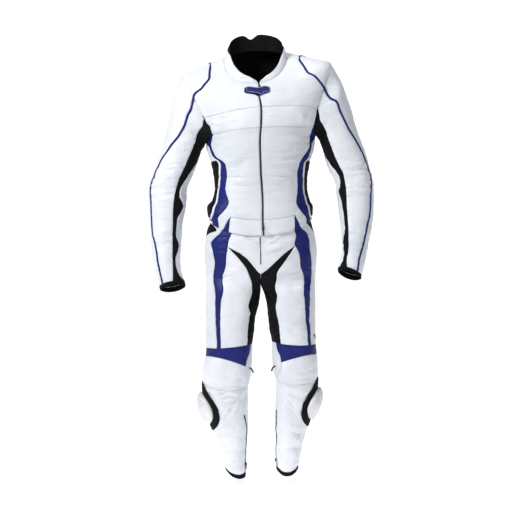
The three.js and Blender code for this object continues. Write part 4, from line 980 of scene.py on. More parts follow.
class Suit:
    """The whole suit's panels, worked out from its rings and seams."""

    def __init__(self) -> None:
        self.skin = Skin()
        self.sleeves: dict[int, tuple[Tube, Course]] = {}
        self.legs: dict[int, tuple[Leg, Course]] = {}
        self.seams: dict[int, dict[str, Course]] = {}
        self._jacket()
        for side, name in SIDES:
            self._sleeve(side, name)
            self._leg(side, name)
        self._collar()
        self.skin.finish()

    def _jacket(self) -> None:
        level_seams = (1, 5, 7, 14)
        self.jacket = jacket = Tube(
            rings=[lambda a, r=ring: ring_points(r, a) for ring in JACKET_RINGS],
            levels=rows_between(0, 15, JACKET_STEP, level_seams),
            step=2,
            turn=1,
            edge=1.0,
            scale=2.4,
        )
        front = (-60, 60)
        self.zip_edge = {}
        for side, _ in SIDES:
            points = [(x + side * ZIP_HALF_WIDTH, z) for x, z in SEAMS["zip"]]
            top = jacket.pin(*points[0], front, (0, 1))[1]
            bottom = jacket.pin(*points[-1], front, (14, 15))[1]
            self.zip_edge[side] = jacket.seam(points, front, (0, 15), top, bottom)
        for side, _ in SIDES:
            self.seams[side] = self._jacket_seams(side)
        for side, name in SIDES:
            self._jacket_side(side, name)
        skin, zips = self.skin, self.zip_edge
        skin.band("front_zip", jacket, 0, 15, zips[RIGHT], zips[LEFT])
        for start, end, seam in (
            (0, 1, "ridge"),
            (1, 4, "pipe_back"),
            (4, 8, "armhole_back"),
            (8, 15, "side"),
        ):
            left, right = self.seams[LEFT][seam], behind(self.seams[RIGHT][seam])
            skin.band("jacket_back", jacket, start, end, left, right)

    def _jacket_seams(self, side: int) -> dict[str, Course]:
        jacket = self.jacket
        front = (-90, -2) if side < 0 else (2, 90)
        back = (-178, -90) if side < 0 else (90, 178)
        edge = side * 90

        def last(key: str) -> float:
            return jacket.pin(*SEAMS[key][side][-1], front, (14, 15))[1]

        armhole = jacket.seam(SEAMS["armholeFront"][side], front, (3, 8), edge, edge)
        armhole_back = jacket.seam(SEAMS["armholeBack"][side], back, (3, 8), edge, edge)
        pipe = jacket.seam(SEAMS["bodyPiping"][side], front, (1, 4), side * 78, armhole(4))
        end = armhole_back(4)

        def pipe_back_at(level: float) -> float:
            if level == 4:
                return end
            share = (level - 1) / 3
            return side * 180 - pipe(level) + (end - side * 180 + pipe(4)) * share

        stripe_inner = jacket.seam(
            SEAMS["stripeInner"][side], front, (7, 15), armhole(7) - side * 2, last("stripeInner")
        )
        stripe_outer = jacket.seam(
            SEAMS["stripeOuter"][side], front, (8, 15), edge, last("stripeOuter")
        )

        def wedge(key: str) -> Course:
            first, final = (jacket.pin(*p, front, (14, 15))[1] for p in SEAMS[key][side])
            return jacket.add_seam(lambda v: first + (final - first) * (v - 14), (14, 15))

        return {
            "armhole": armhole,
            "armhole_back": armhole_back,
            "pipe": pipe,
            "pipe_back": jacket.add_seam(pipe_back_at, (1, 4)),
            "ridge": jacket.add_seam(constant(edge), (0, 1)),
            "stripe_inner": stripe_inner,
            "stripe_outer": stripe_outer,
            "stretch_front": jacket.add_seam(
                lambda v: stripe_outer(v) + side * 5, (10, 14.75)
            ),
            "side": jacket.add_seam(constant(side * SIDE_SEAM), (8, 15)),
            "wedge_inner": wedge("wedgeInner"),
            "wedge_outer": wedge("wedgeOuter"),
        }

    def _jacket_side(self, side: int, name: str) -> None:
        s, zip_edge = self.seams[side], self.zip_edge[side]
        bands = [
            ("yoke", 0, 1, s["ridge"], zip_edge),
            ("yoke", 1, 4, s["pipe"], zip_edge),
            ("yoke", 4, 5, s["armhole"], zip_edge),
            ("shoulder_cap", 1, 3, s["pipe_back"], s["pipe"]),
            ("shoulder_cap", 3, 4, s["armhole"], s["pipe"]),
            ("shoulder_cap", 3, 4, s["pipe_back"], s["armhole_back"]),
            ("chest_band", 5, 7, s["armhole"], zip_edge),
            ("side_stripe", 7, 8, s["armhole"], s["stripe_inner"]),
            ("side_stripe", 8, 15, s["stripe_outer"], s["stripe_inner"]),
            ("front_panel", 7, 14, s["stripe_inner"], zip_edge),
            ("front_panel", 14, 15, s["stripe_inner"], s["wedge_outer"]),
            ("hem_wedge", 14, 15, s["wedge_outer"], s["wedge_inner"]),
            ("hem_band", 14, 15, s["wedge_inner"], zip_edge),
            ("side_panel", 8, 10, s["side"], s["stripe_outer"]),
            ("side_panel", 10, 14.75, s["stretch_front"], s["stripe_outer"]),
            ("side_panel", 14.75, 15, s["side"], s["stripe_outer"]),
            ("side_stretch", 10, 14.75, s["side"], s["stretch_front"]),
        ]
        for part, start, end, outer, inner in bands:
            left, right = (outer, inner) if side < 0 else (inner, outer)
            self.skin.band(f"{name}_{part}", self.jacket, start, end, left, right)

    def _sleeve(self, side: int, name: str) -> None:
        seams, jacket = self.seams[side], self.jacket

        known: dict[float, np.ndarray] = {}

        def armhole(angles: np.ndarray) -> Spots:
            spots = []
            for angle in angles.tolist():
                turn = round(wrapped(angle), 6)
                if turn in known:
                    spots.append(known[turn])
                    continue
                if abs(turn) <= 90:
                    level, seam = 3 + 5 * (turn + 90) / 180, seams["armhole"]
                else:
                    level = 8 - 5 * ((turn + 360) % 360 - 90) / 180
                    seam = seams["armhole_back"]
                level = round(level, 6)
                known[turn] = jacket.smooth_points(np.array([seam(level)]), level)[0]
                spots.append(known[turn])
            return np.array(spots)

        tube = Tube(
            rings=[armhole] + [lambda a, r=ring: ring_points(r, a) for ring in SLEEVE_RINGS[side]],
            levels=rows_between(0, 16, SLEEVE_STEP, (15,)),
            step=3.6,
            turn=-side,
            edge=2.2,
            scale=1.05,
        )
        front, span = (-90, 90), (0, 15)

        def last(key: str) -> float:
            return tube.pin(*SEAMS[key][side][-1], front, (14, 15))[1]

        piping = tube.seam(SEAMS["sleevePiping"][side], front, span, -54, last("sleevePiping"))
        outer = tube.seam(SEAMS["stretchOuter"][side], front, span, -18, last("stretchOuter"))
        inner = tube.seam(SEAMS["stretchInner"][side], front, span, 126, last("stretchInner"))
        band = self.skin.band
        band(f"{name}_sleeve_front", tube, 0, 15, piping, outer)
        band(f"{name}_sleeve_stretch", tube, 0, 15, outer, inner)
        band(f"{name}_sleeve_outer", tube, 0, 15, inner, behind(piping))
        band(f"{name}_cuff", tube, 15, 16, constant(-90), constant(270))
        self.sleeves[side] = (tube, piping)

    def _leg(self, side: int, name: str) -> None:
        def hip(ring: Ring, is_crotch: bool) -> Callable[[np.ndarray], Spots]:
            def at(angles: np.ndarray) -> Spots:
                turn = np.where(angles > CENTRE_BACK + 360 + 1e-6, angles - 360, angles)
                spots = ring_points(ring, -side * (-90 + (turn + 90) * 0.6))
                below = turn > CENTRE_FRONT + 1e-6
                if is_crotch and below.any():
                    spots[below] = crotch_points((turn[below] - CENTRE_FRONT) / 60)
                elif below.any():
                    spots[below] = np.nan
                return spots

            return at

        hips = [hip(ring, i == 6) for i, ring in enumerate(TROUSER_RINGS)]
        tube = Leg(
            rings=hips + [lambda a, r=ring: ring_points(r, a) for ring in LEG_RINGS[side]],
            levels=rows_between(0, 20, LEG_STEP, (3, 5.5, 6, 11, 12, 14, 19.75)),
            step=3,
            turn=-side,
            edge=1.6,
            scale=1.45,
        )
        hips_front, leg_front = (-95, 60), (-95, 90)
        key_last = lambda key: tube.pin(*SEAMS[key][side][-1], leg_front, (10, 11))[1]
        key_first = lambda key, v: tube.pin(*SEAMS[key][side][0], hips_front, v)[1]
        centre = tube.add_seam(constant(CENTRE_FRONT), (0, 6))
        centre_back = tube.add_seam(constant(CENTRE_BACK), (0, 6))
        stripe_inner, stripe_outer = (
            tube.seam(SEAMS[key][side], hips_front, (0, 11), key_first(key, (1, 2)), key_last(key))
            for key in ("thighStripeInner", "thighStripeOuter")
        )
        hip_panel = tube.seam(
            SEAMS["hipPanel"][side], hips_front, (0, 3), key_first("hipPanel", (0.5, 1.5)), -90
        )
        tip = stripe_inner(3)
        fly = tube.seam(SEAMS["fly"][side], hips_front, (3, 5.5), tip, CENTRE_FRONT)
        inner_thigh = tube.seam(
            SEAMS["innerThigh"][side], leg_front, (3, 11), tip, key_last("innerThigh")
        )
        inseam = tube.add_seam(constant(INSEAM), (6, 11))
        outseam = tube.add_seam(constant(OUTSEAM), (11, 19.75))
        inner = (0, 90)
        knee_first = tube.pin(*SEAMS["kneeInner"][side][0], inner, (10.5, 11.5))[1]
        knee_last = tube.pin(*SEAMS["calfZip"][side][0], inner, (13.7, 14.3))[1]
        knee = tube.seam(SEAMS["kneeInner"][side], inner, (11, 14), knee_first, knee_last)
        calf_last = tube.pin(*SEAMS["calfZip"][side][-1], (0, 95), (19.5, 20))[1]
        calf = tube.seam(SEAMS["calfZip"][side], (0, 95), (14, 19.75), knee(14), calf_last)
        bands = [
            ("seat_stretch", 0, 3, centre_back, hip_panel),
            ("fly_panel", 0, 3, stripe_inner, centre),
            ("fly_panel", 3, 5.5, fly, centre),
            (f"{name}_thigh_stripe", 0, 11, stripe_outer, stripe_inner),
            (f"{name}_thigh_front", 3, 11, stripe_inner, inner_thigh),
            (f"{name}_inner_stretch", 3, 5.5, inner_thigh, fly),
            (f"{name}_inner_stretch", 5.5, 6, inner_thigh, centre),
            (f"{name}_inner_stretch", 6, 11, inner_thigh, inseam),
            (f"{name}_thigh_outer", 0, 3, hip_panel, stripe_outer),
            (f"{name}_thigh_outer", 3, 6, centre_back, stripe_outer),
            (f"{name}_thigh_outer", 6, 11, inseam, behind(stripe_outer)),
            (f"{name}_thigh_outer", 11, 14, knee, behind(outseam)),
            (f"{name}_knee_band", 11, 12, outseam, knee),
            (f"{name}_knee_panel", 12, 14, outseam, knee),
            (f"{name}_shin", 14, 19.75, outseam, calf),
            (f"{name}_calf_back", 14, 19.75, calf, behind(outseam)),
            (f"{name}_hem_binding", 19.75, 20, constant(OUTSEAM), constant(OUTSEAM + 360)),
        ]
        for part, start, end, left, right in bands:
            self.skin.band(part, tube, start, end, left, right)
        self.legs[side] = (tube, calf)

    def collar_ring(self, share: float, lowered: bool) -> Callable[[np.ndarray], Spots]:
        """Returns the collar at a share of its height; the leather is lowered at the sides."""

        def at(angles: np.ndarray) -> Spots:
            base = ring_points(JACKET_RINGS[0], angles)
            top = ring_points(COLLAR_TOP, angles)
            turn = np.abs((angles + 180) % 360 - 180)
            dent = COLLAR_DIP_DEPTH * np.exp(-(((top[:, 0] - COLLAR_DIP_X) / COLLAR_DIP_WIDTH) ** 2))
            top[:, 2] -= np.where(turn > 90, dent, 0)
            height = 1 + (COLLAR_SIDE_HEIGHT - 1) * smoothstep(turn - COLLAR_PEAK, 0, COLLAR_SLOPE)
            part = share * (height if lowered else np.ones_like(height))
            return base + (top - base) * part[:, None]

        return at

    def _collar(self) -> None:
        shares = (0, 0.36, 0.7, 1)
        self.collar = collar = Tube(
            rings=[self.collar_ring(s, True) for s in shares],
            levels=rows_between(0, 3, 0.1, ()),
            step=2,
            turn=-1,
            edge=1.0,
            scale=1.7,
        )
        lean = smooth([(0, 0), (1, 2), (2, 7), (3, 14)])
        ends = {
            side: collar.add_seam(lambda v, s=side: self.zip_edge[s](0) + s * lean(v), (0, 3))
            for side, _ in SIDES
        }
        self.skin.band("collar", collar, 0, 3, ends[LEFT], behind(ends[RIGHT]))
        self.lining_skin = Skin()
        lining = Tube(
            rings=[self.collar_ring(-0.1, False), self.collar_ring(1, False)],
            levels=rows_between(0, 1, 0.04, ()),
            step=2,
            turn=-1,
            edge=1.0,
            scale=1.7,
        )
        inward = smooth([(0, 4), (1, 16)])
        sides = {
            side: lining.add_seam(lambda v, s=side: self.zip_edge[s](0) + s * inward(v), (0, 1))
            for side, _ in SIDES
        }
        self.lining_skin.band("collar_lining", lining, 0, 1, sides[LEFT], behind(sides[RIGHT]))
        self.lining_skin.finish()


class Slot(Enum):
    """The record's material slots."""

    WHITE = "white_leather"
    PERFORATED = "perforated_leather"
    BLUE = "blue_leather"
    STRETCH = "black_stretch"
    BINDING = "black_binding"
    LINING = "black_lining"
    ZIP = "zip_metal"
    PLASTIC = "slider_plastic"


class Held(Enum):
    """How a sheet keeps its shape."""

    STRETCHED = "stretched"


class Tree:
    """A new material's nodes, with short calls to add and join them."""

    def __init__(self, name: str) -> None:
        self.material = bpy.data.materials.new(name)
        self.material.use_nodes = True
        self.nodes = self.material.node_tree.nodes
        self.links = self.material.node_tree.links
        self.shader = self.nodes["Principled BSDF"]

    def add(self, kind: str, inputs: dict | None = None, **settings) -> bpy.types.Node:
        """Adds a node.

        Args:
            kind: The node's type.
            inputs: Values or sockets for its inputs, by name or number.
            settings: Values for its own settings.

        Returns:
            The node.
        """
        node = self.nodes.new(kind)
        for key, value in settings.items():
            setattr(node, key, value)
        for key, value in (inputs or {}).items():
            self.put(node.inputs[key], value)
        return node

    def put(self, socket: bpy.types.NodeSocket, value: object) -> None:
        """Joins a socket to another, or sets its value."""
        if isinstance(value, bpy.types.NodeSocket):
            self.links.new(value, socket)
        else:
            socket.default_value = value

    def math(self, operation: str, *values: object) -> bpy.types.NodeSocket:
        """Returns the result of a sum on sockets or numbers."""
        node = self.add("ShaderNodeMath", dict(enumerate(values)), operation=operation)
        return node.outputs[0]

    def spread(self, value: object, low: float, high: float, to: tuple = (0.0, 1.0)) -> object:
        """Returns a value spread from one range onto another, and kept inside it."""
        inputs = {"Value": value, "From Min": low, "From Max": high, "To Min": to[0], "To Max": to[1]}
        return self.add("ShaderNodeMapRange", inputs).outputs["Result"]

    def blend(self, share: object, first: object, second: object) -> bpy.types.NodeSocket:
        """Returns a mix of two colours."""
        node = self.add("ShaderNodeMix", data_type="RGBA")
        for index, value in ((0, share), (6, first), (7, second)):
            self.put(node.inputs[index], value)
        return node.outputs[2]

    def noise(self, where: object, scale: float, detail: float = 3.0) -> bpy.types.NodeSocket:
        """Returns a soft noise."""
        node = self.add("ShaderNodeTexNoise", {"Vector": where, "Scale": scale, "Detail": detail})
        return node.outputs["Fac"]

    def creases(self, where: object, scale: Triple) -> bpy.types.NodeSocket:
        """Returns winding creases: 0 in their middles and 1 between them.

        Args:
            where: The coordinates.
            scale: Creases to a metre along each axis.
        """
        stretched = self.add(
            "ShaderNodeVectorMath", {0: where, 1: scale}, operation="MULTIPLY"
        ).outputs[0]
        soft = self.add(
            "ShaderNodeTexNoise",
            {"Vector": stretched, "Scale": 1.0, "Detail": 2.0, "Distortion": 0.7},
        ).outputs["Fac"]
        off = self.math("ABSOLUTE", self.math("SUBTRACT", soft, 0.5))
        return self.spread(off, 0.0, 0.07)

    def bump(self, height: object, strength: float, depth: float, under: object = None) -> object:
        """Returns the direction of a surface with a height on it."""
        inputs = {"Height": height, "Strength": strength, "Distance": depth}
        if under is not None:
            inputs["Normal"] = under
        return self.add("ShaderNodeBump", inputs).outputs["Normal"]

    def coordinates(self, name: str) -> bpy.types.NodeSocket:
        """Returns the object's own coordinates, or its cloth's."""
        return self.add("ShaderNodeTexCoord").outputs[name]


Colour = tuple[float, float, float, float]


@dataclass(frozen=True)
class Leather:
    """Cowhide: fine grain, soft marks of wear, and rows of punched holes where it has them.

    Attributes:
        name: The material's name.
        colour: The leather's colour.
        shade: Its colour in the grain and where it is rubbed.
        roughness: How matt it is, from least to most.
        hole_pitch: Metres between two holes, or 0 for plain leather.
        hole: The colour in the holes.
        gloss: How much light it mirrors.
        coat: How much of a clear finish it has.
    """

    name: str
    colour: Colour
    shade: Colour
    roughness: tuple[float, float]
    hole_pitch: float = 0.0
    hole: Colour = (0.3, 0.31, 0.34, 1)
    gloss: float = 0.4
    coat: float = 0.08

    def build(self) -> bpy.types.Material:
        """Returns the leather's material."""
        tree = Tree(self.name)
        where = tree.coordinates("Object")
        grain = tree.add(
            "ShaderNodeTexVoronoi", {"Vector": where, "Scale": 780.0}, feature="DISTANCE_TO_EDGE"
        ).outputs["Distance"]
        valley = tree.spread(grain, 0.0, 0.12, (1.0, 0.0))
        clouds = tree.noise(where, 9.0, 4.0)
        marks = tree.spread(tree.noise(where, 34.0, 5.0), 0.56, 0.72)
        colour = tree.blend(tree.spread(clouds, 0.3, 0.72), self.shade, self.colour)
        colour = tree.blend(tree.math("MULTIPLY", valley, 0.35), colour, self.shade)
        colour = tree.blend(tree.math("MULTIPLY", marks, 0.3), colour, self.shade)
        rough = tree.spread(tree.noise(where, 60.0), 0.35, 0.65, self.roughness)
        fine = tree.noise(where, 2600.0, 2.0)
        normal = tree.bump(tree.spread(grain, 0.0, 0.1), 0.28, 0.00016)
        normal = tree.bump(fine, 0.12, 0.00008, normal)
        normal = tree.bump(tree.noise(where, 120.0, 3.0), 0.22, 0.0006, normal)
        creases = tree.creases(where, (26.0, 26.0, 88.0))
        normal = tree.bump(creases, 0.22, 0.0016, normal)
        broad = tree.creases(where, (11.0, 11.0, 34.0))
        normal = tree.bump(broad, 0.25, 0.003, normal)
        if self.hole_pitch:
            at = tree.coordinates("UV")
            inputs = {"Vector": at, "Scale": 1 / self.hole_pitch, "Randomness": 0.0}
            spot = tree.add("ShaderNodeTexVoronoi", inputs, voronoi_dimensions="2D")
            hole = tree.spread(spot.outputs["Distance"], 0.1, 0.2, (0.8, 0.0))
            colour = tree.blend(hole, colour, self.hole)
            rough = tree.math("MAXIMUM", rough, tree.math("MULTIPLY", hole, 0.9))
            sink = tree.spread(spot.outputs["Distance"], 0.1, 0.24)
            normal = tree.bump(sink, 0.8, 0.0006, normal)
        tree.put(tree.shader.inputs["Base Color"], colour)
        tree.put(tree.shader.inputs["Roughness"], rough)
        tree.put(tree.shader.inputs["Normal"], normal)
        tree.shader.inputs["Specular IOR Level"].default_value = self.gloss
        tree.shader.inputs["Coat Weight"].default_value = self.coat
        tree.shader.inputs["Coat Roughness"].default_value = 0.35
        return tree.material


@dataclass(frozen=True)
class Cloths:
    """Woven or ribbed cloth.

    Attributes:
        name: The material's name.
        colour: Its colour on the ribs, lighter there as painted light.
        shade: Its colour between them, darker there as painted shade, and where the fluff is darker.
        rib: Metres between two ribs.
        thread: Metres between two threads.
        depth: How far the ribs stand out, in metres.
    """

    name: str
    colour: Colour
    shade: Colour
    rib: float
    thread: float
    depth: float

    def build(self) -> bpy.types.Material:
        """Returns the cloth's material."""
        tree = Tree(self.name)
        where = tree.coordinates("Object")
        cloth = tree.coordinates("UV")
        parts = tree.add("ShaderNodeSeparateXYZ", {"Vector": cloth}).outputs
        turn = 2 * math.pi
        ribs = tree.math("SINE", tree.math("MULTIPLY", parts["Y"], turn / self.rib))
        warp = tree.math("SINE", tree.math("MULTIPLY", parts["X"], turn / self.thread))
        weft = tree.math("SINE", tree.math("MULTIPLY", parts["Y"], turn / self.thread))
        weave = tree.math("MULTIPLY", warp, weft)
        fluff = tree.noise(where, 900.0, 4.0)
        # Lighter on the ribs and threads and darker between them: painted light and shade, over the fluff's
        # own uneven tone.
        light = tree.math("MULTIPLY_ADD", ribs, 0.3, tree.spread(fluff, 0.3, 0.7))
        light = tree.math("MULTIPLY_ADD", weave, 0.2, light)
        colour = tree.blend(tree.spread(light, 0.1, 1.0), self.shade, self.colour)
        dust = tree.spread(tree.noise(where, 22.0, 5.0), 0.5, 0.75, (0.0, 0.25))
        colour = tree.blend(dust, colour, (0.02, 0.02, 0.021, 1))
        normal = tree.bump(ribs, 0.7, self.depth)
        normal = tree.bump(weave, 0.35, 0.0002, normal)
        tree.put(tree.shader.inputs["Base Color"], colour)
        tree.put(tree.shader.inputs["Roughness"], tree.spread(fluff, 0.3, 0.7, (0.72, 0.92)))
        tree.put(tree.shader.inputs["Normal"], normal)
        tree.shader.inputs["Specular IOR Level"].default_value = 0.12
        return tree.material


@dataclass(frozen=True)
class Hard:
    """Metal or plastic with small scuffs."""

    name: str
    colour: Colour
    shade: Colour
    roughness: tuple[float, float]
    metallic: float

    def build(self) -> bpy.types.Material:
        """Returns the material."""
        tree = Tree(self.name)
        where = tree.coordinates("Object")
        scuffs = tree.spread(tree.noise(where, 150.0, 6.0), 0.5, 0.68)
        clouds = tree.noise(where, 20.0, 3.0)
        colour = tree.blend(tree.spread(clouds, 0.3, 0.7), self.colour, self.shade)
        colour = tree.blend(tree.math("MULTIPLY", scuffs, 0.4), colour, self.shade)
        rough = tree.spread(scuffs, 0.0, 1.0, self.roughness)
        normal = tree.bump(tree.noise(where, 420.0, 4.0), 0.12, 0.0002)
        tree.put(tree.shader.inputs["Base Color"], colour)
        tree.put(tree.shader.inputs["Roughness"], rough)
        tree.put(tree.shader.inputs["Normal"], normal)
        tree.shader.inputs["Metallic"].default_value = self.metallic
        return tree.material


class Finishes:
    """Every material of the suit, by its slot."""

    def __init__(self) -> None:
        white, white_shade = (0.80, 0.82, 0.86, 1), (0.66, 0.69, 0.75, 1)
        recipes = {
            Slot.WHITE: Leather("white_leather", white, white_shade, (0.36, 0.52)),
            Slot.PERFORATED: Leather(
                "perforated_leather", (0.76, 0.79, 0.83, 1), white_shade, (0.42, 0.58), 0.0042
            ),
            Slot.BLUE: Leather(
                "blue_leather",
                (0.009, 0.018, 0.17, 1),
                (0.005, 0.01, 0.1, 1),
                (0.4, 0.56),
                gloss=0.22,
                coat=0.02,
            ),
            Slot.STRETCH: Cloths(
                "black_stretch", (0.009, 0.009, 0.011, 1), (0.003, 0.003, 0.004, 1), 0.0046, 0.0012, 0.0009
            ),
            Slot.BINDING: Cloths(
                "black_binding", (0.008, 0.008, 0.009, 1), (0.003, 0.003, 0.0035, 1), 0.0024, 0.0009, 0.0003
            ),
            Slot.LINING: Cloths(
                "black_lining", (0.006, 0.006, 0.007, 1), (0.0025, 0.0025, 0.003, 1), 0.0016, 0.0008, 0.0002
            ),
            Slot.ZIP: Hard("zip_metal", (0.05, 0.05, 0.055, 1), (0.14, 0.145, 0.15, 1), (0.35, 0.55), 0.8),
            Slot.PLASTIC: Hard(
                "slider_plastic", (0.72, 0.73, 0.74, 1), (0.56, 0.57, 0.6, 1), (0.35, 0.55), 0.0
            ),
        }
        self.materials = {slot: recipe.build() for slot, recipe in recipes.items()}

    def dress(self, piece: bpy.types.Object, slot: Slot) -> None:
        """Gives a new piece its material."""
        piece.data.materials.clear()
        piece.data.materials.append(self.materials[slot])


def new_piece(
    name: str,
    points: np.ndarray,
    faces: Sequence[Sequence[int]],
    uv: np.ndarray | None = None,
    sharp: float = 35.0,
) -> bpy.types.Object:
    """Returns a new smooth-shaded piece.

    Args:
        name: The piece's name.
        points: Its points, in millimetres.
        faces: Its faces, as indices of points.
        uv: The cloth's coordinates at the faces' corners, in millimetres.
        sharp: The angle in degrees past which an edge looks sharp.

    Returns:
        The piece.
    """
    mesh = bpy.data.meshes.new(name)
    mesh.from_pydata((points * METRES).tolist(), [], faces)
    if uv is not None:
        layer = mesh.uv_layers.new(name="cloth")
        layer.data.foreach_set("uv", (uv * METRES).astype(np.float32).ravel())
    mesh.polygons.foreach_set("use_smooth", [True] * len(mesh.polygons))
    mesh.update()
    mesh.set_sharp_from_angle(angle=math.radians(sharp))
    piece = bpy.data.objects.new(name, mesh)
    bpy.context.scene.collection.objects.link(piece)
    return piece


@dataclass(frozen=True)
class Wall:
    """A panel's wall.

    Attributes:
        thickness: How thick it is.
        lift: How far it stands off the skin.
        rounding: How far its edge turns down into the seam.
        puff: How far its middle stands up over its edges.
    """

    thickness: float = LEATHER
    lift: float = 0.0
    rounding: float = 1.4
    puff: float = 0.9


EDGE_WIDTH = 3.4
PUFF_REACH = 14.0
LEAST_SHARE = 0.32
PUFFED = ("knee_panel", "shoulder_cap", "chest_band", "collar")


class Panel:
    """One panel of the suit, with its true edges, wall and cloth coordinates."""

    def __init__(self, skin: Skin, name: str, wall: Wall) -> None:
        self.skin, self.name, self.wall = skin, name, wall
        cloth = skin.panels[name]
        self.faces = np.array(cloth.faces)
        self.ids, place = np.unique(self.faces, return_inverse=True)
        self.place = place.reshape(self.faces.shape)
        self.rim = skin.rim(name)
        self.corners = np.array(cloth.corners)
        self.rows = np.array(cloth.levels)
        self.near = self._rim_tree()

    def _rim_tree(self) -> KDTree:
        start, end = self.skin.points[self.rim[:, 0]], self.skin.points[self.rim[:, 1]]
        shares = (0, 0.25, 0.5, 0.75)
        self.beside = np.concatenate([start + (end - start) * t for t in shares])
        inward = unit(np.cross(self.skin.normals[self.rim[:, 0]], unit(end - start)))
        self.inward = np.tile(inward, (len(shares), 1))
        tree = KDTree(len(self.beside))
        for i, spot in enumerate(self.beside.tolist()):
            tree.insert(spot, i)
        tree.balance()
        return tree

    def holds(self, spots: np.ndarray, margin: float) -> np.ndarray:
        """Returns whether each spot is on the panel, at least a margin from its edge."""
        nearest = [self.near.find(spot) for spot in spots.tolist()]
        ids = [found[1] for found in nearest]
        away = np.array([found[2] for found in nearest])
        side = np.einsum("ij,ij->i", spots - self.beside[ids], self.inward[ids])
        return (side > 0) & (away > margin)

    def from_rim(self, spots: np.ndarray) -> np.ndarray:
        """Returns how far points are from the panel's edge."""
        return np.array([self.near.find(spot)[2] for spot in spots.tolist()])

    def _shifts(self) -> np.ndarray:
        points, normals, rim = self.skin.points, self.skin.normals, self.rim
        along = unit(points[rim[:, 1]] - points[rim[:, 0]])
        total, count = np.zeros_like(points), np.zeros(len(points))
        for end in (0, 1):
            np.add.at(total, rim[:, end], unit(np.cross(normals[rim[:, end]], along)))
            np.add.at(count, rim[:, end], 1)
        size = np.linalg.norm(total, axis=1)
        mitre = np.where(count == 2, size**2 / 2, size)
        shift = total * (SEAM / 2 / np.maximum(mitre, 0.05))[:, None]
        length = np.linalg.norm(shift, axis=1)
        shift *= np.minimum(1, SEAM * 2 / np.maximum(length, 1e-9))[:, None]
        return shift[self.ids]

    def relief(self, spots: np.ndarray) -> np.ndarray:
        """Returns how far the wall stands out at points, over its edge's height."""
        away = self.from_rim(spots)
        turned = np.clip(1 - away / EDGE_WIDTH, 0, 1)
        edge = -self.wall.rounding * (1 - np.sqrt(1 - turned**2))
        return edge + self.wall.puff * (1 - np.exp(-away / PUFF_REACH))

    def piece(self) -> bpy.types.Object:
        """Builds the panel's closed wall."""
        base = self.skin.points[self.ids] + self._shifts()
        out = self.skin.normals[self.ids]
        base = base + out * self.wall.lift
        outer = base + out * self.relief(self.skin.points[self.ids])[:, None]
        inner = base - out * self.wall.thickness
        count = len(self.ids)
        lookup = np.zeros(len(self.skin.points), int)
        lookup[self.ids] = np.arange(count)
        a, b = lookup[self.rim[:, 0]], lookup[self.rim[:, 1]]
        walls = np.column_stack([b, a, a + count, b + count])
        faces = [*self.place.tolist(), *(self.place[:, ::-1] + count).tolist(), *walls.tolist()]
        uv_at = {}
        for corner, uv in zip(self.faces.ravel().tolist(), self.corners.reshape(-1, 2).tolist()):
            uv_at[corner] = uv
        edge_uv = np.array([uv_at[i] for i in self.rim.ravel().tolist()]).reshape(-1, 2, 2)
        wall_uv = np.stack([edge_uv[:, 1], edge_uv[:, 0], edge_uv[:, 0], edge_uv[:, 1]], axis=1)
        uv = np.concatenate(
            [self.corners.reshape(-1, 2), self.corners[:, ::-1].reshape(-1, 2), wall_uv.reshape(-1, 2)]
        )
        return new_piece(self.name + "_cloth", np.concatenate([outer, inner]), faces, uv)

    def cut(self) -> tuple[float, float, float]:
        """Returns the width, length and area of the panel's cut, in metres."""
        a, b, c = (self.skin.points[self.faces[:, k]] for k in range(3))
        area = np.linalg.norm(np.cross(b - a, c - a), axis=1) / 2 * METRES**2
        widths = self.skin.panels[self.name].widths
        levels = sorted(widths)
        length, across = 0.0, 0.0
        for upper, lower in zip(levels, levels[1:]):
            strip = area[np.abs(self.rows - upper) < 1e-6].sum()
            mean = (widths[upper] + widths[lower]) / 2 * METRES
            across = max(across, mean)
            if mean > 1e-4:
                length += strip / mean
        total = float(area.sum())
        width = min(max(across, total / length), total / length / LEAST_SHARE)
        return width, length, total

    def seam_lines(self, inset: float) -> list[tuple[np.ndarray, np.ndarray]]:
        """Returns lines of points and directions that run just inside the panel's edge."""
        ahead: dict[int, list[int]] = {}
        for a, b in self.rim.tolist():
            ahead.setdefault(a, []).append(b)
        lines = []
        while ahead:
            start = next(iter(ahead))
            chain = [start]
            while chain[-1] in ahead:
                choices = ahead[chain[-1]]
                following = choices.pop()
                if not choices:
                    del ahead[chain[-1]]
                chain.append(following)
            points = self.skin.points[chain]
            out = self.skin.normals[chain]
            along = unit(np.gradient(points, axis=0))
            inward = unit(np.cross(out, along))
            lines.append((points + inward * inset, out))
        return lines


class Template:
    """A small hard piece that is modelled once and laid down many times as one mesh."""

    def __init__(self, made: bpy.types.Object) -> None:
        mesh = made.data
        self.points = np.array([v.co for v in mesh.vertices]) / METRES
        self.faces = [list(p.vertices) for p in mesh.polygons]
        bpy.data.objects.remove(made)

    def laid(self, name: str, frames: Sequence[tuple]) -> bpy.types.Object:
        """Returns copies at frames of place, along, across and out, joined into one piece."""
        points, faces = [], []
        for i, (place, along, across, out) in enumerate(frames):
            turn = np.stack([along, across, out])
            points.append(self.points @ turn + place)
            shift = i * len(self.points)
            faces += [[v + shift for v in face] for face in self.faces]
        return new_piece(name, np.concatenate(points), faces, sharp=50)


def select_none() -> None:
    """Deselects everything."""
    if bpy.context.object and bpy.context.object.mode != "OBJECT":
        bpy.ops.object.mode_set(mode="OBJECT")
    bpy.ops.object.select_all(action="DESELECT")


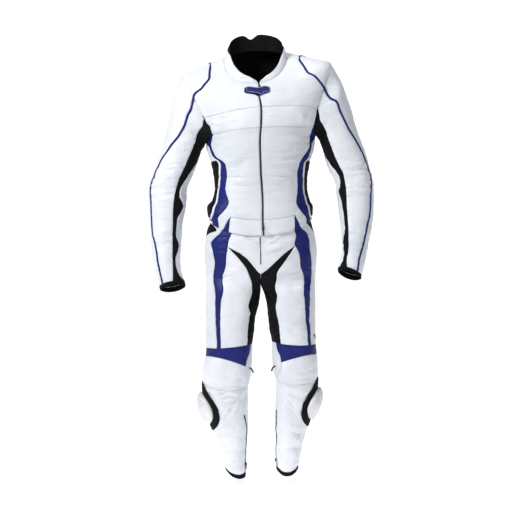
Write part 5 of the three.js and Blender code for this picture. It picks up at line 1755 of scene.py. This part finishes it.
def block(size: tuple[float, float, float], bevel: float, segments: int = 1) -> bpy.types.Object:
    """Returns a block that lies on the floor of its own axes, with its edges rounded.

    Args:
        size: Its length, width and height in millimetres.
        bevel: How far its edges are rounded, in millimetres.
        segments: How many faces round an edge.
    """
    select_none()
    length, width, height = (value * METRES for value in size)
    bpy.ops.mesh.primitive_cube_add(size=1, location=(0, 0, height / 2))
    made = bpy.context.object
    made.scale = (length, width, height)
    bpy.ops.object.transform_apply(location=True, rotation=True, scale=True)
    if bevel:
        bpy.ops.object.mode_set(mode="EDIT")
        bpy.ops.mesh.select_all(action="SELECT")
        bpy.ops.mesh.bevel(offset=bevel * METRES, segments=segments, affect="EDGES")
        bpy.ops.object.mode_set(mode="OBJECT")
    return made


def stitch_template() -> Template:
    """Models one stitch: a short thread that dives into the leather at both ends."""
    made = block((3.1, 0.75, 0.5), 0)
    for vertex in made.data.vertices:
        if vertex.co.z > 0.2 * METRES:
            vertex.co.x *= 0.62
            vertex.co.y *= 0.7
        else:
            vertex.co.z = -0.25 * METRES
    bpy.ops.object.mode_set(mode="EDIT")
    bpy.ops.mesh.select_all(action="DESELECT")
    bpy.ops.object.mode_set(mode="OBJECT")
    for face in made.data.polygons:
        face.select = face.normal.z < -0.9
    bpy.ops.object.mode_set(mode="EDIT")
    bpy.ops.mesh.delete(type="FACE")
    bpy.ops.object.mode_set(mode="OBJECT")
    return Template(made)


def along_line(points: np.ndarray, pitch: float) -> list[tuple[int, float]]:
    """Returns even steps along a line, each as a segment and a share of it."""
    gaps = np.linalg.norm(np.diff(points, axis=0), axis=1)
    reached = np.concatenate([[0], np.cumsum(gaps)])
    total = reached[-1]
    if total < pitch * 1.5:
        return []
    stops = np.linspace(0, total, int(total / pitch) + 1)[:-1] + pitch / 2
    stops = stops[stops < total]
    segment = np.clip(np.searchsorted(reached, stops, side="right") - 1, 0, len(gaps) - 1)
    share = (stops - reached[segment]) / np.maximum(gaps[segment], 1e-9)
    return list(zip(segment.tolist(), share.tolist()))


def frames_along(
    points: np.ndarray, out: np.ndarray, pitch: float, rise: float, clear: Callable | None = None
) -> list[tuple]:
    """Returns frames at even steps along a line on the suit.

    Args:
        points: The line's points.
        out: The direction that the suit faces at each.
        pitch: The distance between two frames.
        rise: How far the frames stand off the line.
        clear: Says of places whether a frame may stand there.
    """
    frames = []
    for i, share in along_line(points, pitch):
        place = points[i] + (points[i + 1] - points[i]) * share
        up = unit(out[i] + (out[i + 1] - out[i]) * share)
        along = unit(points[i + 1] - points[i])
        across = unit(np.cross(up, along))
        frames.append((place + up * rise, along, across, unit(np.cross(along, across))))
    if clear is None or not frames:
        return frames
    keep = clear(np.array([frame[0] for frame in frames]))
    return [frame for frame, kept in zip(frames, keep) if kept]


def swept(
    name: str, points: np.ndarray, out: np.ndarray, profile: Sequence[tuple[float, float]]
) -> bpy.types.Object:
    """Returns a closed bar along a line on the suit.

    Args:
        name: The piece's name.
        points: The line's points.
        out: The direction that the suit faces at each.
        profile: Places round the bar, as distances across and off the line.
    """
    along = unit(np.gradient(points, axis=0))
    across = unit(np.cross(along, out))
    up = unit(np.cross(across, along))
    count = len(profile)
    rows = [points + across * x + up * y for x, y in profile]
    spots = np.stack(rows, axis=1).reshape(-1, 3)
    reached = np.concatenate([[0], np.cumsum(np.linalg.norm(np.diff(points, axis=0), axis=1))])
    faces, uv = [], []
    for i in range(len(points) - 1):
        for j in range(count):
            k = (j + 1) % count
            faces.append([i * count + j, i * count + k, (i + 1) * count + k, (i + 1) * count + j])
            ends = (reached[i], reached[i + 1])
            uv += [(j * 1.0, ends[0]), (j + 1.0, ends[0]), (j + 1.0, ends[1]), (j * 1.0, ends[1])]
    last = (len(points) - 1) * count
    faces.append(list(range(count))[::-1])
    faces.append([last + j for j in range(count)])
    uv += [(0.0, 0.0)] * (2 * count)
    piece = new_piece(name, spots, faces, np.array(uv))
    return outward(piece)


def outward(piece: bpy.types.Object) -> bpy.types.Object:
    """Turns the faces of a closed piece outward."""
    select_none()
    piece.select_set(True)
    bpy.context.view_layer.objects.active = piece
    bpy.ops.object.mode_set(mode="EDIT")
    bpy.ops.mesh.select_all(action="SELECT")
    bpy.ops.mesh.normals_make_consistent(inside=False)
    bpy.ops.object.mode_set(mode="OBJECT")
    return piece


def half_round(width: float, height: float, base: float, steps: int = 8) -> list[tuple[float, float]]:
    """Returns the profile of a bar with a flat back and a round front."""
    turns = [math.pi * i / steps for i in range(steps + 1)]
    arc = [(-math.cos(t) * width / 2, base + math.sin(t) ** 0.8 * height) for t in turns]
    return arc


class Cut(NamedTuple):
    """The size of a panel before it is sewn, in metres."""

    width: float
    length: float
    area: float


@dataclass
class Shell:
    """Every panel of the suit: leather, stretch cloth and lining.

    Attributes:
        suit: The suit's shape.
        finishes: The suit's materials.
        finish_of: Which slot each kind of panel takes.
    """

    suit: Suit
    finishes: Finishes
    finish_of: dict[Slot, tuple[str, ...]] = field(
        default_factory=lambda: {
            Slot.WHITE: (
                "yoke", "shoulder_cap", "chest_band", "hem_band", "sleeve_front", "sleeve_outer",
                "side_panel", "thigh_front", "knee_panel", "shin", "calf_back", "jacket_back",
                "fly_panel", "collar",
            ),
            Slot.PERFORATED: ("front_panel", "thigh_outer"),
            Slot.BLUE: ("side_stripe", "hem_wedge", "thigh_stripe", "knee_band"),
            Slot.STRETCH: ("side_stretch", "sleeve_stretch", "inner_stretch", "seat_stretch"),
            Slot.BINDING: ("cuff", "hem_binding"),
            Slot.LINING: ("collar_lining",),
            Slot.ZIP: ("front_zip",),
        }
    )
    panels: dict[str, tuple[Panel, Slot]] = field(default_factory=dict)
    cuts: dict[str, Cut] = field(default_factory=dict)

    def slot_of(self, name: str) -> Slot:
        """Returns the slot of a panel."""
        bare = name.removeprefix("right_").removeprefix("left_")
        return next(slot for slot, kinds in self.finish_of.items() if bare in kinds)

    def build(self) -> None:
        """Builds every panel."""
        names = list(self.suit.skin.panels)
        for name in names:
            self._panel(self.suit.skin, name)
        self._panel(self.suit.lining_skin, "collar_lining")

    def _panel(self, skin: Skin, name: str) -> None:
        slot = self.slot_of(name)
        wall = Wall()
        if slot is Slot.ZIP:
            wall = Wall(1.4, -0.5, 0.2, 0.0)
        elif slot is Slot.LINING:
            wall = Wall(1.6, -3.2, 0.5, 0.8)
        elif name.endswith(PUFFED):
            wall = Wall(puff=2.2)
        elif slot in (Slot.STRETCH, Slot.BINDING):
            wall = Wall(LEATHER, -0.2, 0.7, 0.2)
        panel = Panel(skin, name, wall)
        piece = panel.piece()
        self.panels[name] = (panel, slot)
        self.finishes.dress(piece, Slot.BINDING if slot is Slot.ZIP else slot)
        self._line_inside(piece, len(panel.faces))
        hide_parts(name)
        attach(piece, "root")
        width, length, area = panel.cut()
        share = area / (width * length)
        LOG.info("%s: %.3f x %.3f m, %.4f m2 (%.2f)", name, width, length, area, share)
        if slot is not Slot.ZIP:
            self.cuts[name] = Cut(width, length, area)

    def _line_inside(self, piece: bpy.types.Object, outer: int) -> None:
        """Gives the inner half of a panel's faces the dark lining, past the outer ones."""
        piece.data.materials.append(self.finishes.materials[Slot.LINING])
        index = np.zeros(len(piece.data.polygons), dtype=np.int32)
        index[outer : 2 * outer] = 1
        piece.data.polygons.foreach_set("material_index", index)


# Seams that are stitched through one panel, as points of the front view
STITCHED_LINES = (
    ("jacket", RIGHT, ((-148, 8), (-122, -28), (-92, -50), (-62, -63), (-33, -69))),
    ("jacket", LEFT, ((80, 20), (66, -8), (53, -30), (37, -46), (20, -56))),
    ("trouser", RIGHT, ((-66, -1102), (-78, -1134), (-96, -1162), (-120, -1190), (-150, -1209))),
    ("trouser", LEFT, ((59, -1086), (78, -1130), (99, -1168), (123, -1200), (140, -1210))),
)


@dataclass
class Seams:
    """The stitches along the leather's edges."""

    shell: Shell
    inset: float = 3.4
    pitch: float = 4.8

    def _drawn_lines(self) -> list[tuple[str, np.ndarray, np.ndarray]]:
        """Returns the seams that run inside a panel, as drawn in the front view."""
        suit = self.shell.suit
        lines = []
        for half, side, points in STITCHED_LINES:
            tube = suit.jacket if half == "jacket" else suit.legs[side][0]
            angles = (-90, 90) if half == "jacket" else (-95, 75)
            levels = (0, 6) if half == "jacket" else (14, 18)
            pins = np.array([tube.pin(x, z, angles, levels) for x, z in points])
            share = np.linspace(0, len(pins) - 1, 40)
            level, angle = (np.interp(share, range(len(pins)), pins[:, k]) for k in (0, 1))
            level, angle = (smoothed(values, 30) for values in (level, angle))
            spots = np.array([tube.point(a, v) for a, v in zip(angle, level)])
            out = np.array([tube.outward(a, v) for a, v in zip(angle, level)])
            lines.append((half, spots, out))
        return lines

    def build(self) -> None:
        """Lays every stitch, in one piece for each colour and half of the suit."""
        stitch = stitch_template()
        trousers = ("thigh", "knee", "shin", "calf", "fly")
        groups: dict[tuple[str, Slot], list] = {}
        for name, (panel, slot) in self.shell.panels.items():
            if slot not in (Slot.WHITE, Slot.PERFORATED, Slot.BLUE):
                continue
            half = "trouser" if any(word in name for word in trousers) else "jacket"
            thread = Slot.BLUE if slot is Slot.BLUE else Slot.WHITE
            frames = groups.setdefault((half, thread), [])
            for points, out in panel.seam_lines(self.inset):
                clear = lambda spots, p=panel: p.holds(spots, self.inset * 0.9)
                laid = frames_along(points, out, self.pitch, 0.05, clear)
                if not laid:
                    continue
                rise = panel.relief(np.array([frame[0] for frame in laid]))
                frames += [
                    (place + up * lift, along, across, up)
                    for (place, along, across, up), lift in zip(laid, rise)
                ]
        for half, spots, out in self._drawn_lines():
            groups[(half, Slot.WHITE)] += frames_along(spots, out, self.pitch, 0.5)
        for (half, thread), frames in groups.items():
            name = f"{half}_{thread.value.split('_')[0]}_stitching"
            piece = stitch.laid(name, frames)
            self.shell.finishes.dress(piece, thread)
            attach(piece, "root")
            LOG.info("%s: %d stitches", name, len(frames))


def smoothed(points: np.ndarray, times: int) -> np.ndarray:
    """Returns a line with its corners eased, and its ends where they were."""
    eased = points.copy()
    for _ in range(times):
        eased[1:-1] = (eased[:-2] + 2 * eased[1:-1] + eased[2:]) / 4
    return eased


@dataclass
class Trim:
    """Piping and zips.

    Attributes:
        suit: The suit's shape.
        finishes: The suit's materials.
        tooth: A zip tooth's length, width and height.
    """

    suit: Suit
    finishes: Finishes
    tooth: Triple = (1.1, 2.4, 1.3)

    def line(self, spots: Iterable[tuple[Tube, float, float]]) -> tuple[np.ndarray, np.ndarray]:
        """Returns points of the skin and the directions that they face."""
        skin = self.suit.skin
        ids = [skin.vertices(tube, np.array([angle]), level)[0] for tube, angle, level in spots]
        return skin.points[ids], skin.normals[ids]

    def build(self) -> None:
        """Builds both pipings and all the zips."""
        for side, name in SIDES:
            self._piping(side, name)
            self._calf_zip(side, name)
        self._front_zip()
        self._fly_zip()

    def _piping(self, side: int, name: str) -> None:
        jacket, seams = self.suit.jacket, self.suit.seams[side]
        tube, piping = self.suit.sleeves[side]
        down = [v for v in tube.levels if 0 < v <= 15][::-1]
        over = [v for v in jacket.levels if 1 <= v <= 4]
        spots = [(tube, piping(v), v) for v in down]
        spots += [(jacket, seams["pipe"](v), v) for v in over[::-1]]
        spots += [(jacket, side * 90, 1)]
        spots += [(jacket, seams["pipe_back"](v), v) for v in over]
        points, out = self.line(spots)
        points, out = smoothed(points, 6), unit(smoothed(out, 8))
        piece = swept(f"{name}_piping_cord", points, out, half_round(7.6, 3.0, 0.2))
        self.finishes.dress(piece, Slot.BLUE)
        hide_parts(f"{name}_piping")
        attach(piece, "root")

    def _zip(self, name: str, points: np.ndarray, out: np.ndarray, width: float, node: str) -> None:
        tape = swept(f"{name}_tape", points, out, half_round(width, 0.7, 0.3, 4))
        self.finishes.dress(tape, Slot.BINDING)
        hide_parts(node)
        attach(tape, "root")
        self._teeth(f"{name}_teeth", points, out, 0.9)

    def _teeth(self, name: str, points: np.ndarray, out: np.ndarray, rise: float) -> None:
        tooth = Template(block(self.tooth, 0.3))
        frames = []
        for k, frame in enumerate(frames_along(points, out, 1.5, rise)):
            place, along, across, up = frame
            side = 0.45 if k % 2 else -0.45
            frames.append((place + across * side, along, across, up))
        piece = tooth.laid(name, frames)
        self.finishes.dress(piece, Slot.ZIP)
        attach(piece, "root")

    def _front_zip(self) -> None:
        jacket, edges = self.suit.jacket, self.suit.zip_edge
        levels = [v for v in jacket.levels if v >= 0.15]
        spots = [jacket.point((edges[RIGHT](v) + edges[LEFT](v)) / 2, v) for v in levels]
        out = [jacket.outward((edges[RIGHT](v) + edges[LEFT](v)) / 2, v) for v in levels]
        self._teeth("front_zip_teeth", np.array(spots), np.array(out), -0.4)

    def _calf_zip(self, side: int, name: str) -> None:
        tube, calf = self.suit.legs[side]
        levels = [v for v in tube.levels if 16 <= v <= 19.75]
        points, out = self.line([(tube, calf(v), v) for v in levels])
        self._zip(f"{name}_calf_zip", smoothed(points, 3), out, 8.5, f"{name}_calf_zip")

    def _fly_zip(self) -> None:
        tube, _ = self.suit.legs[RIGHT]
        levels = [v for v in tube.levels if 1.15 <= v <= 4.5]
        points, out = self.line([(tube, CENTRE_FRONT, v) for v in levels])
        self._zip("fly_zip", points, out, 5.0, "fly_zip")


@dataclass
class KneeSliders:
    """The hook-backed pads on the outside of the knees, whose black ring round each puck is also painted
    shadow, and the pucks on them.
    """

    suit: Suit
    finishes: Finishes
    outline: tuple[tuple[float, float, float], ...] = (
        (13.8, -98, -86),
        (14, -118, -70),
        (14.45, -138, -46),
        (14.95, -146, -28),
        (15.5, -150, -19),
        (16, -148, -19),
        (16.4, -142, -25),
        (16.8, -130, -41),
        (17.1, -112, -66),
    )
    pad_lift: float = 1.3
    pad_height: float = 2.0
    puck_level: float = 15.6
    puck_levels: float = 1.08
    puck_angle: float = -91
    puck_angles: float = 54
    puck_tilt: float = 5
    puck_height: float = 20
    puck_lean: float = 0.3
    puck_rim: float = 5
    puck_gap: float = 0.75

    def build(self) -> None:
        """Builds the pads and pucks of both legs."""
        for side, name in SIDES:
            tube, _ = self.suit.legs[side]
            self._pad(tube, name)
            self._puck(tube, name)

    def _on_leg(
        self, name: str, tube: Tube, grid: list[list[tuple[float, float, float]]], lift: float
    ) -> bpy.types.Object:
        """Returns a closed pad over a grid of (angle, level, height) on the leg."""
        rows, columns = len(grid), len(grid[0])
        lower, upper = [], []
        for row in grid:
            angles, levels, rises = (np.array(column) for column in zip(*row))
            spots, out = tube.surface(angles, levels[0])
            lower += list(spots + out * lift)
            upper += list(spots + out * (lift + rises)[:, None])
        count = rows * columns
        faces, uv = [], []

        def quad(*ids: int) -> None:
            faces.append(list(ids))
            for i in ids:
                row, column = divmod(i % count, columns)
                uv.append((grid[row][column][0] * 1.3, grid[row][column][1] * 44.0))

        for i in range(rows - 1):
            for j in range(columns - 1):
                a, b = i * columns + j, (i + 1) * columns + j
                quad(a, b, b + 1, a + 1)
                quad(a + count, a + 1 + count, b + 1 + count, b + count)
        rim = [j for j in range(columns)]
        rim += [i * columns + columns - 1 for i in range(1, rows)]
        rim += [(rows - 1) * columns + j for j in range(columns - 2, -1, -1)]
        rim += [i * columns for i in range(rows - 2, 0, -1)]
        for a, b in zip(rim, rim[1:] + rim[:1]):
            quad(a, b, b + count, a + count)
        piece = new_piece(name, np.array(upper + lower), faces, np.array(uv), sharp=50)
        return outward(piece)

    def _pad(self, tube: Tube, name: str) -> None:
        start = smooth([(level, low) for level, low, _ in self.outline])
        end = smooth([(level, high) for level, _, high in self.outline])
        levels = np.linspace(self.outline[0][0], self.outline[-1][0], 45)
        grid = []
        for i, level in enumerate(levels):
            row = []
            for j in range(31):
                share = j / 30
                angle = start(level) + (end(level) - start(level)) * share
                edge = min(share, 1 - share, i / 44, 1 - i / 44)
                rise = self.pad_height * (0.55 + 0.45 * min(edge / 0.05, 1) ** 0.5)
                row.append((angle, float(level), rise))
            grid.append(row)
        piece = self._on_leg(f"{name}_slider_backing_and_shadow", tube, grid, self.pad_lift)
        # The pad is black like its hook base, and its dark ring round the puck also stands for the puck's
        # shadow on the leg: painted shadow.
        self.finishes.dress(piece, Slot.BINDING)
        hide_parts(f"{name}_slider_pad")
        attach(piece, "root")

    def _puck(self, tube: Tube, name: str) -> None:
        rings, columns = 41, 41
        grid = []
        for i in range(rings):
            place = math.sin(math.pi / 2 * (2 * i / (rings - 1) - 1)) * 0.998
            level = self.puck_level + self.puck_levels * place
            half = self.puck_angles * math.sqrt(1 - place * place)
            middle = self.puck_angle + self.puck_tilt * (level - self.puck_level)
            row = []
            for j in range(columns):
                across = math.sin(math.pi / 2 * (2 * j / (columns - 1) - 1))
                angle = middle + half * across
                off = min(place * place + across * across * (1 - place * place), 1.0)
                dome = max(1 - off, 0.0) ** 0.6 * (1 - self.puck_lean * place)
                rise = self.puck_rim + (self.puck_height - self.puck_rim) * dome
                groove = math.exp(-(((off - 0.62) / 0.05) ** 2))
                row.append((angle, level, rise - 1.1 * groove))
            grid.append(row)
        lift = self.pad_lift + self.pad_height + self.puck_gap
        piece = self._on_leg(f"{name}_slider_puck", tube, grid, lift)
        self.finishes.dress(piece, Slot.PLASTIC)
        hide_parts(f"{name}_knee_slider")
        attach(piece, "root")


@dataclass
class NeckTab:
    """The strap over the top of the front zip, which ends in an arrow."""

    suit: Suit
    finishes: Finishes
    columns: tuple[tuple[float, float, float], ...] = (
        (-53, -72, -86),
        (-46, -69, -89),
        (-30, -70, -91),
        (-14, -72, -93),
        (-5, -71, -98),
        (0, -69, -95),
        (8, -67, -91),
        (18, -68, -89),
        (26, -72, -84),
    )
    height: float = 2.6
    lift: float = 1.1

    rows: int = 9
    steps: int = 61

    def build(self) -> None:
        """Builds the strap, a black strip under it whose edge below and to the left is painted shadow, and
        its border of stitches.
        """
        edges = self._edges()
        # A black strip set a little below and to the left of the strap: painted shadow of the strap's edge
        # on the jacket.
        under = [edge + (0.045, -1.2) for edge in edges]
        strap_shadow, _ = self._strap("neck_strap_painted_shadow", under, 0.35, 0.8)
        self.finishes.dress(strap_shadow, Slot.BINDING)
        strap, top = self._strap("neck_strap", edges, self.lift, self.height)
        self.finishes.dress(strap, Slot.BLUE)
        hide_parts("neck_tab")
        stitching = self._border(top)
        self.finishes.dress(stitching, Slot.WHITE)
        for piece in (strap_shadow, strap, stitching):
            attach(piece, "root")

    def _edges(self) -> list[np.ndarray]:
        """Returns the strap's top and bottom edges, as rows of level and angle."""
        jacket = self.suit.jacket
        across = np.linspace(self.columns[0][0], self.columns[-1][0], self.steps)
        knots = sorted({x for x, _, _ in self.columns} | {-50, -38, -22, -9, 4, 13, 22})
        edges = []
        for heights in ([high for _, high, _ in self.columns], [low for _, _, low in self.columns]):
            edge = smooth(list(zip([x for x, _, _ in self.columns], heights)))
            pins = [jacket.pin(x, edge(x), (-60, 60), (0, 5)) for x in knots]
            places = [np.interp(across, knots, [pin[k] for pin in pins]) for k in (0, 1)]
            edges.append(np.stack(places, axis=1))
        return edges

    def _strap(
        self, name: str, edges: list[np.ndarray], lift: float, height: float
    ) -> tuple[bpy.types.Object, np.ndarray]:
        """Builds a closed strip between two edges.

        Args:
            name: The piece's name.
            edges: Its top and bottom edges, as rows of level and angle.
            lift: How far it stands off the jacket.
            height: How thick it is.

        Returns:
            The piece, and the points of its face as a grid.
        """
        jacket, columns, rows = self.suit.jacket, self.steps, self.rows
        upper, lower = [], []
        for i in range(columns):
            for j in range(rows):
                share = j / (rows - 1)
                level, angle = edges[0][i] + (edges[1][i] - edges[0][i]) * share
                spots, outs = jacket.surface(np.array([angle]), float(level))
                edge = min(share, 1 - share, i / (columns - 1), 1 - i / (columns - 1))
                rise = height * (0.6 + 0.4 * min(edge / 0.12, 1) ** 0.5)
                lower.append(spots[0] + outs[0] * lift)
                upper.append(spots[0] + outs[0] * (lift + rise))
        count = columns * rows
        faces = []
        for i in range(columns - 1):
            for j in range(rows - 1):
                a, b = i * rows + j, (i + 1) * rows + j
                faces.append([a, b, b + 1, a + 1])
                faces.append([a + count, a + 1 + count, b + 1 + count, b + count])
        rim = [j for j in range(rows)]
        rim += [i * rows + rows - 1 for i in range(1, columns)]
        rim += [(columns - 1) * rows + j for j in range(rows - 2, -1, -1)]
        rim += [i * rows for i in range(columns - 2, 0, -1)]
        faces += [[a, b, b + count, a + count] for a, b in zip(rim, rim[1:] + rim[:1])]
        piece = outward(new_piece(name, np.array(upper + lower), faces, sharp=50))
        return piece, np.array(upper).reshape(columns, rows, 3)

    def _border(self, top: np.ndarray) -> bpy.types.Object:
        """Lays the stitches that run round the strap, just inside its edge."""
        columns, rows, _ = top.shape
        loop = [(i, 1) for i in range(2, columns - 2)]
        loop += [(columns - 3, j) for j in range(2, rows - 1)]
        loop += [(i, rows - 2) for i in range(columns - 4, 1, -1)]
        loop += [(2, j) for j in range(rows - 3, 0, -1)]
        points = np.array([top[i, j] for i, j in loop])
        out = np.array(
            [np.cross(top[i, j + 1] - top[i, j - 1], top[i + 1, j] - top[i - 1, j]) for i, j in loop]
        )
        out = unit(out)
        out = np.where(out[:, 1:2] > 0, -out, out)
        frames = frames_along(points, out, 3.4, 0.05)
        return stitch_template().laid("neck_strap_stitching", frames)


@dataclass
class Pulls:
    """The small pieces that a hand takes hold of: zip pulls and cloth tabs.

    Attributes:
        suit: The suit's shape.
        finishes: The suit's materials.
    """

    suit: Suit
    finishes: Finishes

    def build(self) -> None:
        """Builds the zip pulls, the tabs at the knees and the pocket's cord."""
        pull = self._template()
        frames = []
        for side, name in SIDES:
            tube, calf = self.suit.legs[side]
            frames.append(self._frame(tube, calf, 19.3, 1.2))
            self._tab(tube, side, name)
        tube, _ = self.suit.legs[RIGHT]
        frames.append(self._frame(tube, constant(CENTRE_FRONT), 1.5, 1.2))
        zips = self.suit.zip_edge
        middle = lambda level: (zips[RIGHT](level) + zips[LEFT](level)) / 2
        frames.append(self._frame(self.suit.jacket, middle, 14.4, 0.4))
        piece = pull.laid("zip_pulls", frames)
        self.finishes.dress(piece, Slot.ZIP)
        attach(piece, "root")
        self._pocket_cord()

    @staticmethod
    def _template() -> Template:
        """Models a zip's slider with its bridge and a flat pull with a hole."""
        body = block((9.0, 7.0, 2.8), 0.9, 2)
        bridge = block((5.0, 1.6, 4.6), 0.5)
        select_none()
        bpy.ops.mesh.primitive_torus_add(
            major_radius=4.2 * METRES,
            minor_radius=0.9 * METRES,
            major_segments=20,
            minor_segments=8,
            location=(8 * METRES, 0, 3.6 * METRES),
        )
        loop = bpy.context.object
        loop.scale = (2.1, 0.8, 0.8)
        bpy.ops.object.transform_apply(location=True, rotation=True, scale=True)
        select_none()
        for made in (body, bridge, loop):
            made.select_set(True)
        bpy.context.view_layer.objects.active = body
        bpy.ops.object.join()
        return Template(body)

    def _frame(self, tube: Tube, course: Course, level: float, rise: float) -> tuple:
        """Returns where a pull stands on a seam, pointing down it."""
        place = tube.point(course(level), level)
        out = tube.outward(course(level), level)
        along = unit(tube.point(course(level + 0.1), level + 0.1) - place)
        across = unit(np.cross(out, along))
        return (place + out * rise, along, across, unit(np.cross(along, across)))

    def _tab(self, tube: Tube, side: int, name: str) -> None:
        """Builds the folded tab at the inside of a knee."""
        x, z = KNEE_TABS[side]
        level, angle = tube.pin(x, z, (0, 140), (12, 14))
        place, out = tube.point(angle, level), tube.outward(angle, level)
        share = np.linspace(0, 1, 9)[:, None]
        down = np.array([0.0, 0.0, -1.0])
        points = place + out * (0.5 + 13 * np.sin(share * 1.6)) + down * 16 * share**1.6
        up = np.tile(np.array([0.0, -1.0, 0.0]), (len(points), 1))
        piece = swept(f"{name}_knee_tab", points, up, half_round(5.0, 1.6, 0.0, 4))
        self.finishes.dress(piece, Slot.BINDING)
        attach(piece, "root")

    def _pocket_cord(self) -> None:
        """Builds the cord that hangs from the thigh pocket's zip."""
        tube, _ = self.suit.legs[LEFT]
        pins = [tube.pin(x, z, (-130, 0), (9, 11)) for x, z in POCKET_CORD]
        points = np.array([tube.point(angle, level) for level, angle in pins])
        out = np.array([tube.outward(angle, level) for level, angle in pins])
        share = np.linspace(0, len(pins) - 1, 13)
        points = np.stack([np.interp(share, range(len(pins)), points[:, k]) for k in range(3)], 1)
        out = np.stack([np.interp(share, range(len(pins)), out[:, k]) for k in range(3)], 1)
        points, out = smoothed(points + out * 1.6, 2), unit(out)
        piece = swept("pocket_zip_cord", points, out, half_round(3.2, 2.6, 0.0, 6))
        self.finishes.dress(piece, Slot.BINDING)
        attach(piece, "root")


KNEE_TABS = {RIGHT: (-42, -996), LEFT: (44, -990)}
POCKET_CORD = ((162, -876), (168, -884), (172, -892), (175, -900))


@dataclass
class Studio:
    """The pale floor, which glows towards the back as painted light, the soft lights and the camera."""

    floor_height: float = -1.372
    lens: float = 98.0
    distance: float = 4.6

    def build(self) -> None:
        """Builds everything round the suit."""
        self._floor()
        self._lights()
        self._camera()

    def _floor(self) -> None:
        select_none()
        bpy.ops.mesh.primitive_plane_add(size=16, location=(0, 0, self.floor_height))
        floor = bpy.context.object
        floor.name = "studio_floor"
        bpy.ops.object.mode_set(mode="EDIT")
        bpy.ops.mesh.select_all(action="DESELECT")
        bpy.ops.object.mode_set(mode="OBJECT")
        for edge in floor.data.edges:
            ends = [floor.data.vertices[i].co for i in edge.vertices]
            edge.select = all(end.y > 0 for end in ends)
            for i in edge.vertices:
                floor.data.vertices[i].select = floor.data.vertices[i].co.y > 0
        bpy.ops.object.mode_set(mode="EDIT")
        bpy.ops.mesh.select_mode(type="EDGE")
        for degrees in range(10, 100, 10):
            turn = math.radians(degrees)
            step = (0, 0.35 * math.cos(turn), 0.35 * math.sin(turn))
            bpy.ops.mesh.extrude_region_move(TRANSFORM_OT_translate={"value": step})
        bpy.ops.mesh.extrude_region_move(TRANSFORM_OT_translate={"value": (0, 0, 8)})
        bpy.ops.object.mode_set(mode="OBJECT")
        bpy.ops.object.shade_smooth()
        tree = Tree("pale_glowing_floor")
        where = tree.coordinates("Object")
        colour = tree.blend(tree.noise(where, 3.0), (0.93, 0.93, 0.94, 1), (0.95, 0.95, 0.95, 1))
        tree.put(tree.shader.inputs["Base Color"], colour)
        tree.shader.inputs["Roughness"].default_value = 0.9
        # The floor and backdrop glow, painted light that rises towards the back, so that the backdrop looks
        # pure white and the suit's shadows on the floor fade.
        parts = tree.add("ShaderNodeSeparateXYZ", {"Vector": where}).outputs
        glow = tree.spread(parts["Y"], -0.9, -0.2, (0.05, 0.75))
        tree.shader.inputs["Emission Color"].default_value = (1, 1, 1, 1)
        tree.put(tree.shader.inputs["Emission Strength"], glow)
        floor.data.materials.append(tree.material)

    def _lights(self) -> None:
        bpy.context.scene.view_settings.view_transform = "Standard"
        world = bpy.data.worlds.new("studio")
        bpy.context.scene.world = world
        world.use_nodes = True
        background = world.node_tree.nodes["Background"]
        background.inputs["Color"].default_value = (0.96, 0.98, 1.0, 1)
        background.inputs["Strength"].default_value = 0.1
        for name, place, size, energy in (
            ("key", (-2.2, -1.9, 1.5), 0.8, 108),
            ("fill", (1.8, -3.0, 0.0), 2.0, 24),
            ("top", (0.5, -0.5, 2.4), 1.0, 26),
        ):
            light = bpy.data.lights.new(name, "AREA")
            light.size = size
            light.energy = energy
            lamp = bpy.data.objects.new(name, light)
            lamp.location = place
            aim = Vector((-0.02, 0, -0.6)) - Vector(place)
            lamp.rotation_euler = aim.to_track_quat("-Z", "Y").to_euler()
            bpy.context.scene.collection.objects.link(lamp)

    def _camera(self) -> None:
        camera = bpy.data.cameras.new("photo_view")
        camera.lens = self.lens
        camera.sensor_width = 36
        eye = bpy.data.objects.new("photo_view", camera)
        eye.location = (AXIS_X * METRES, -self.distance, AXIS_Z * METRES)
        eye.rotation_euler = (math.pi / 2, 0, 0)
        bpy.context.scene.collection.objects.link(eye)
        bpy.context.scene.camera = eye


def main() -> None:
    """Builds the suit piece by piece, and the studio round it."""
    logging.basicConfig(level=logging.INFO, format="%(relativeCreated)d %(message)s")
    Studio().build()
    suit = Suit()
    LOG.info("skin: %d points", len(suit.skin.points))
    finishes = Finishes()
    shell = Shell(suit, finishes)
    shell.build()
    Seams(shell).build()
    Trim(suit, finishes).build()
    KneeSliders(suit, finishes).build()
    NeckTab(suit, finishes).build()
    Pulls(suit, finishes).build()
    LOG.info("all pieces built")


if __name__ == "__main__":
    main()
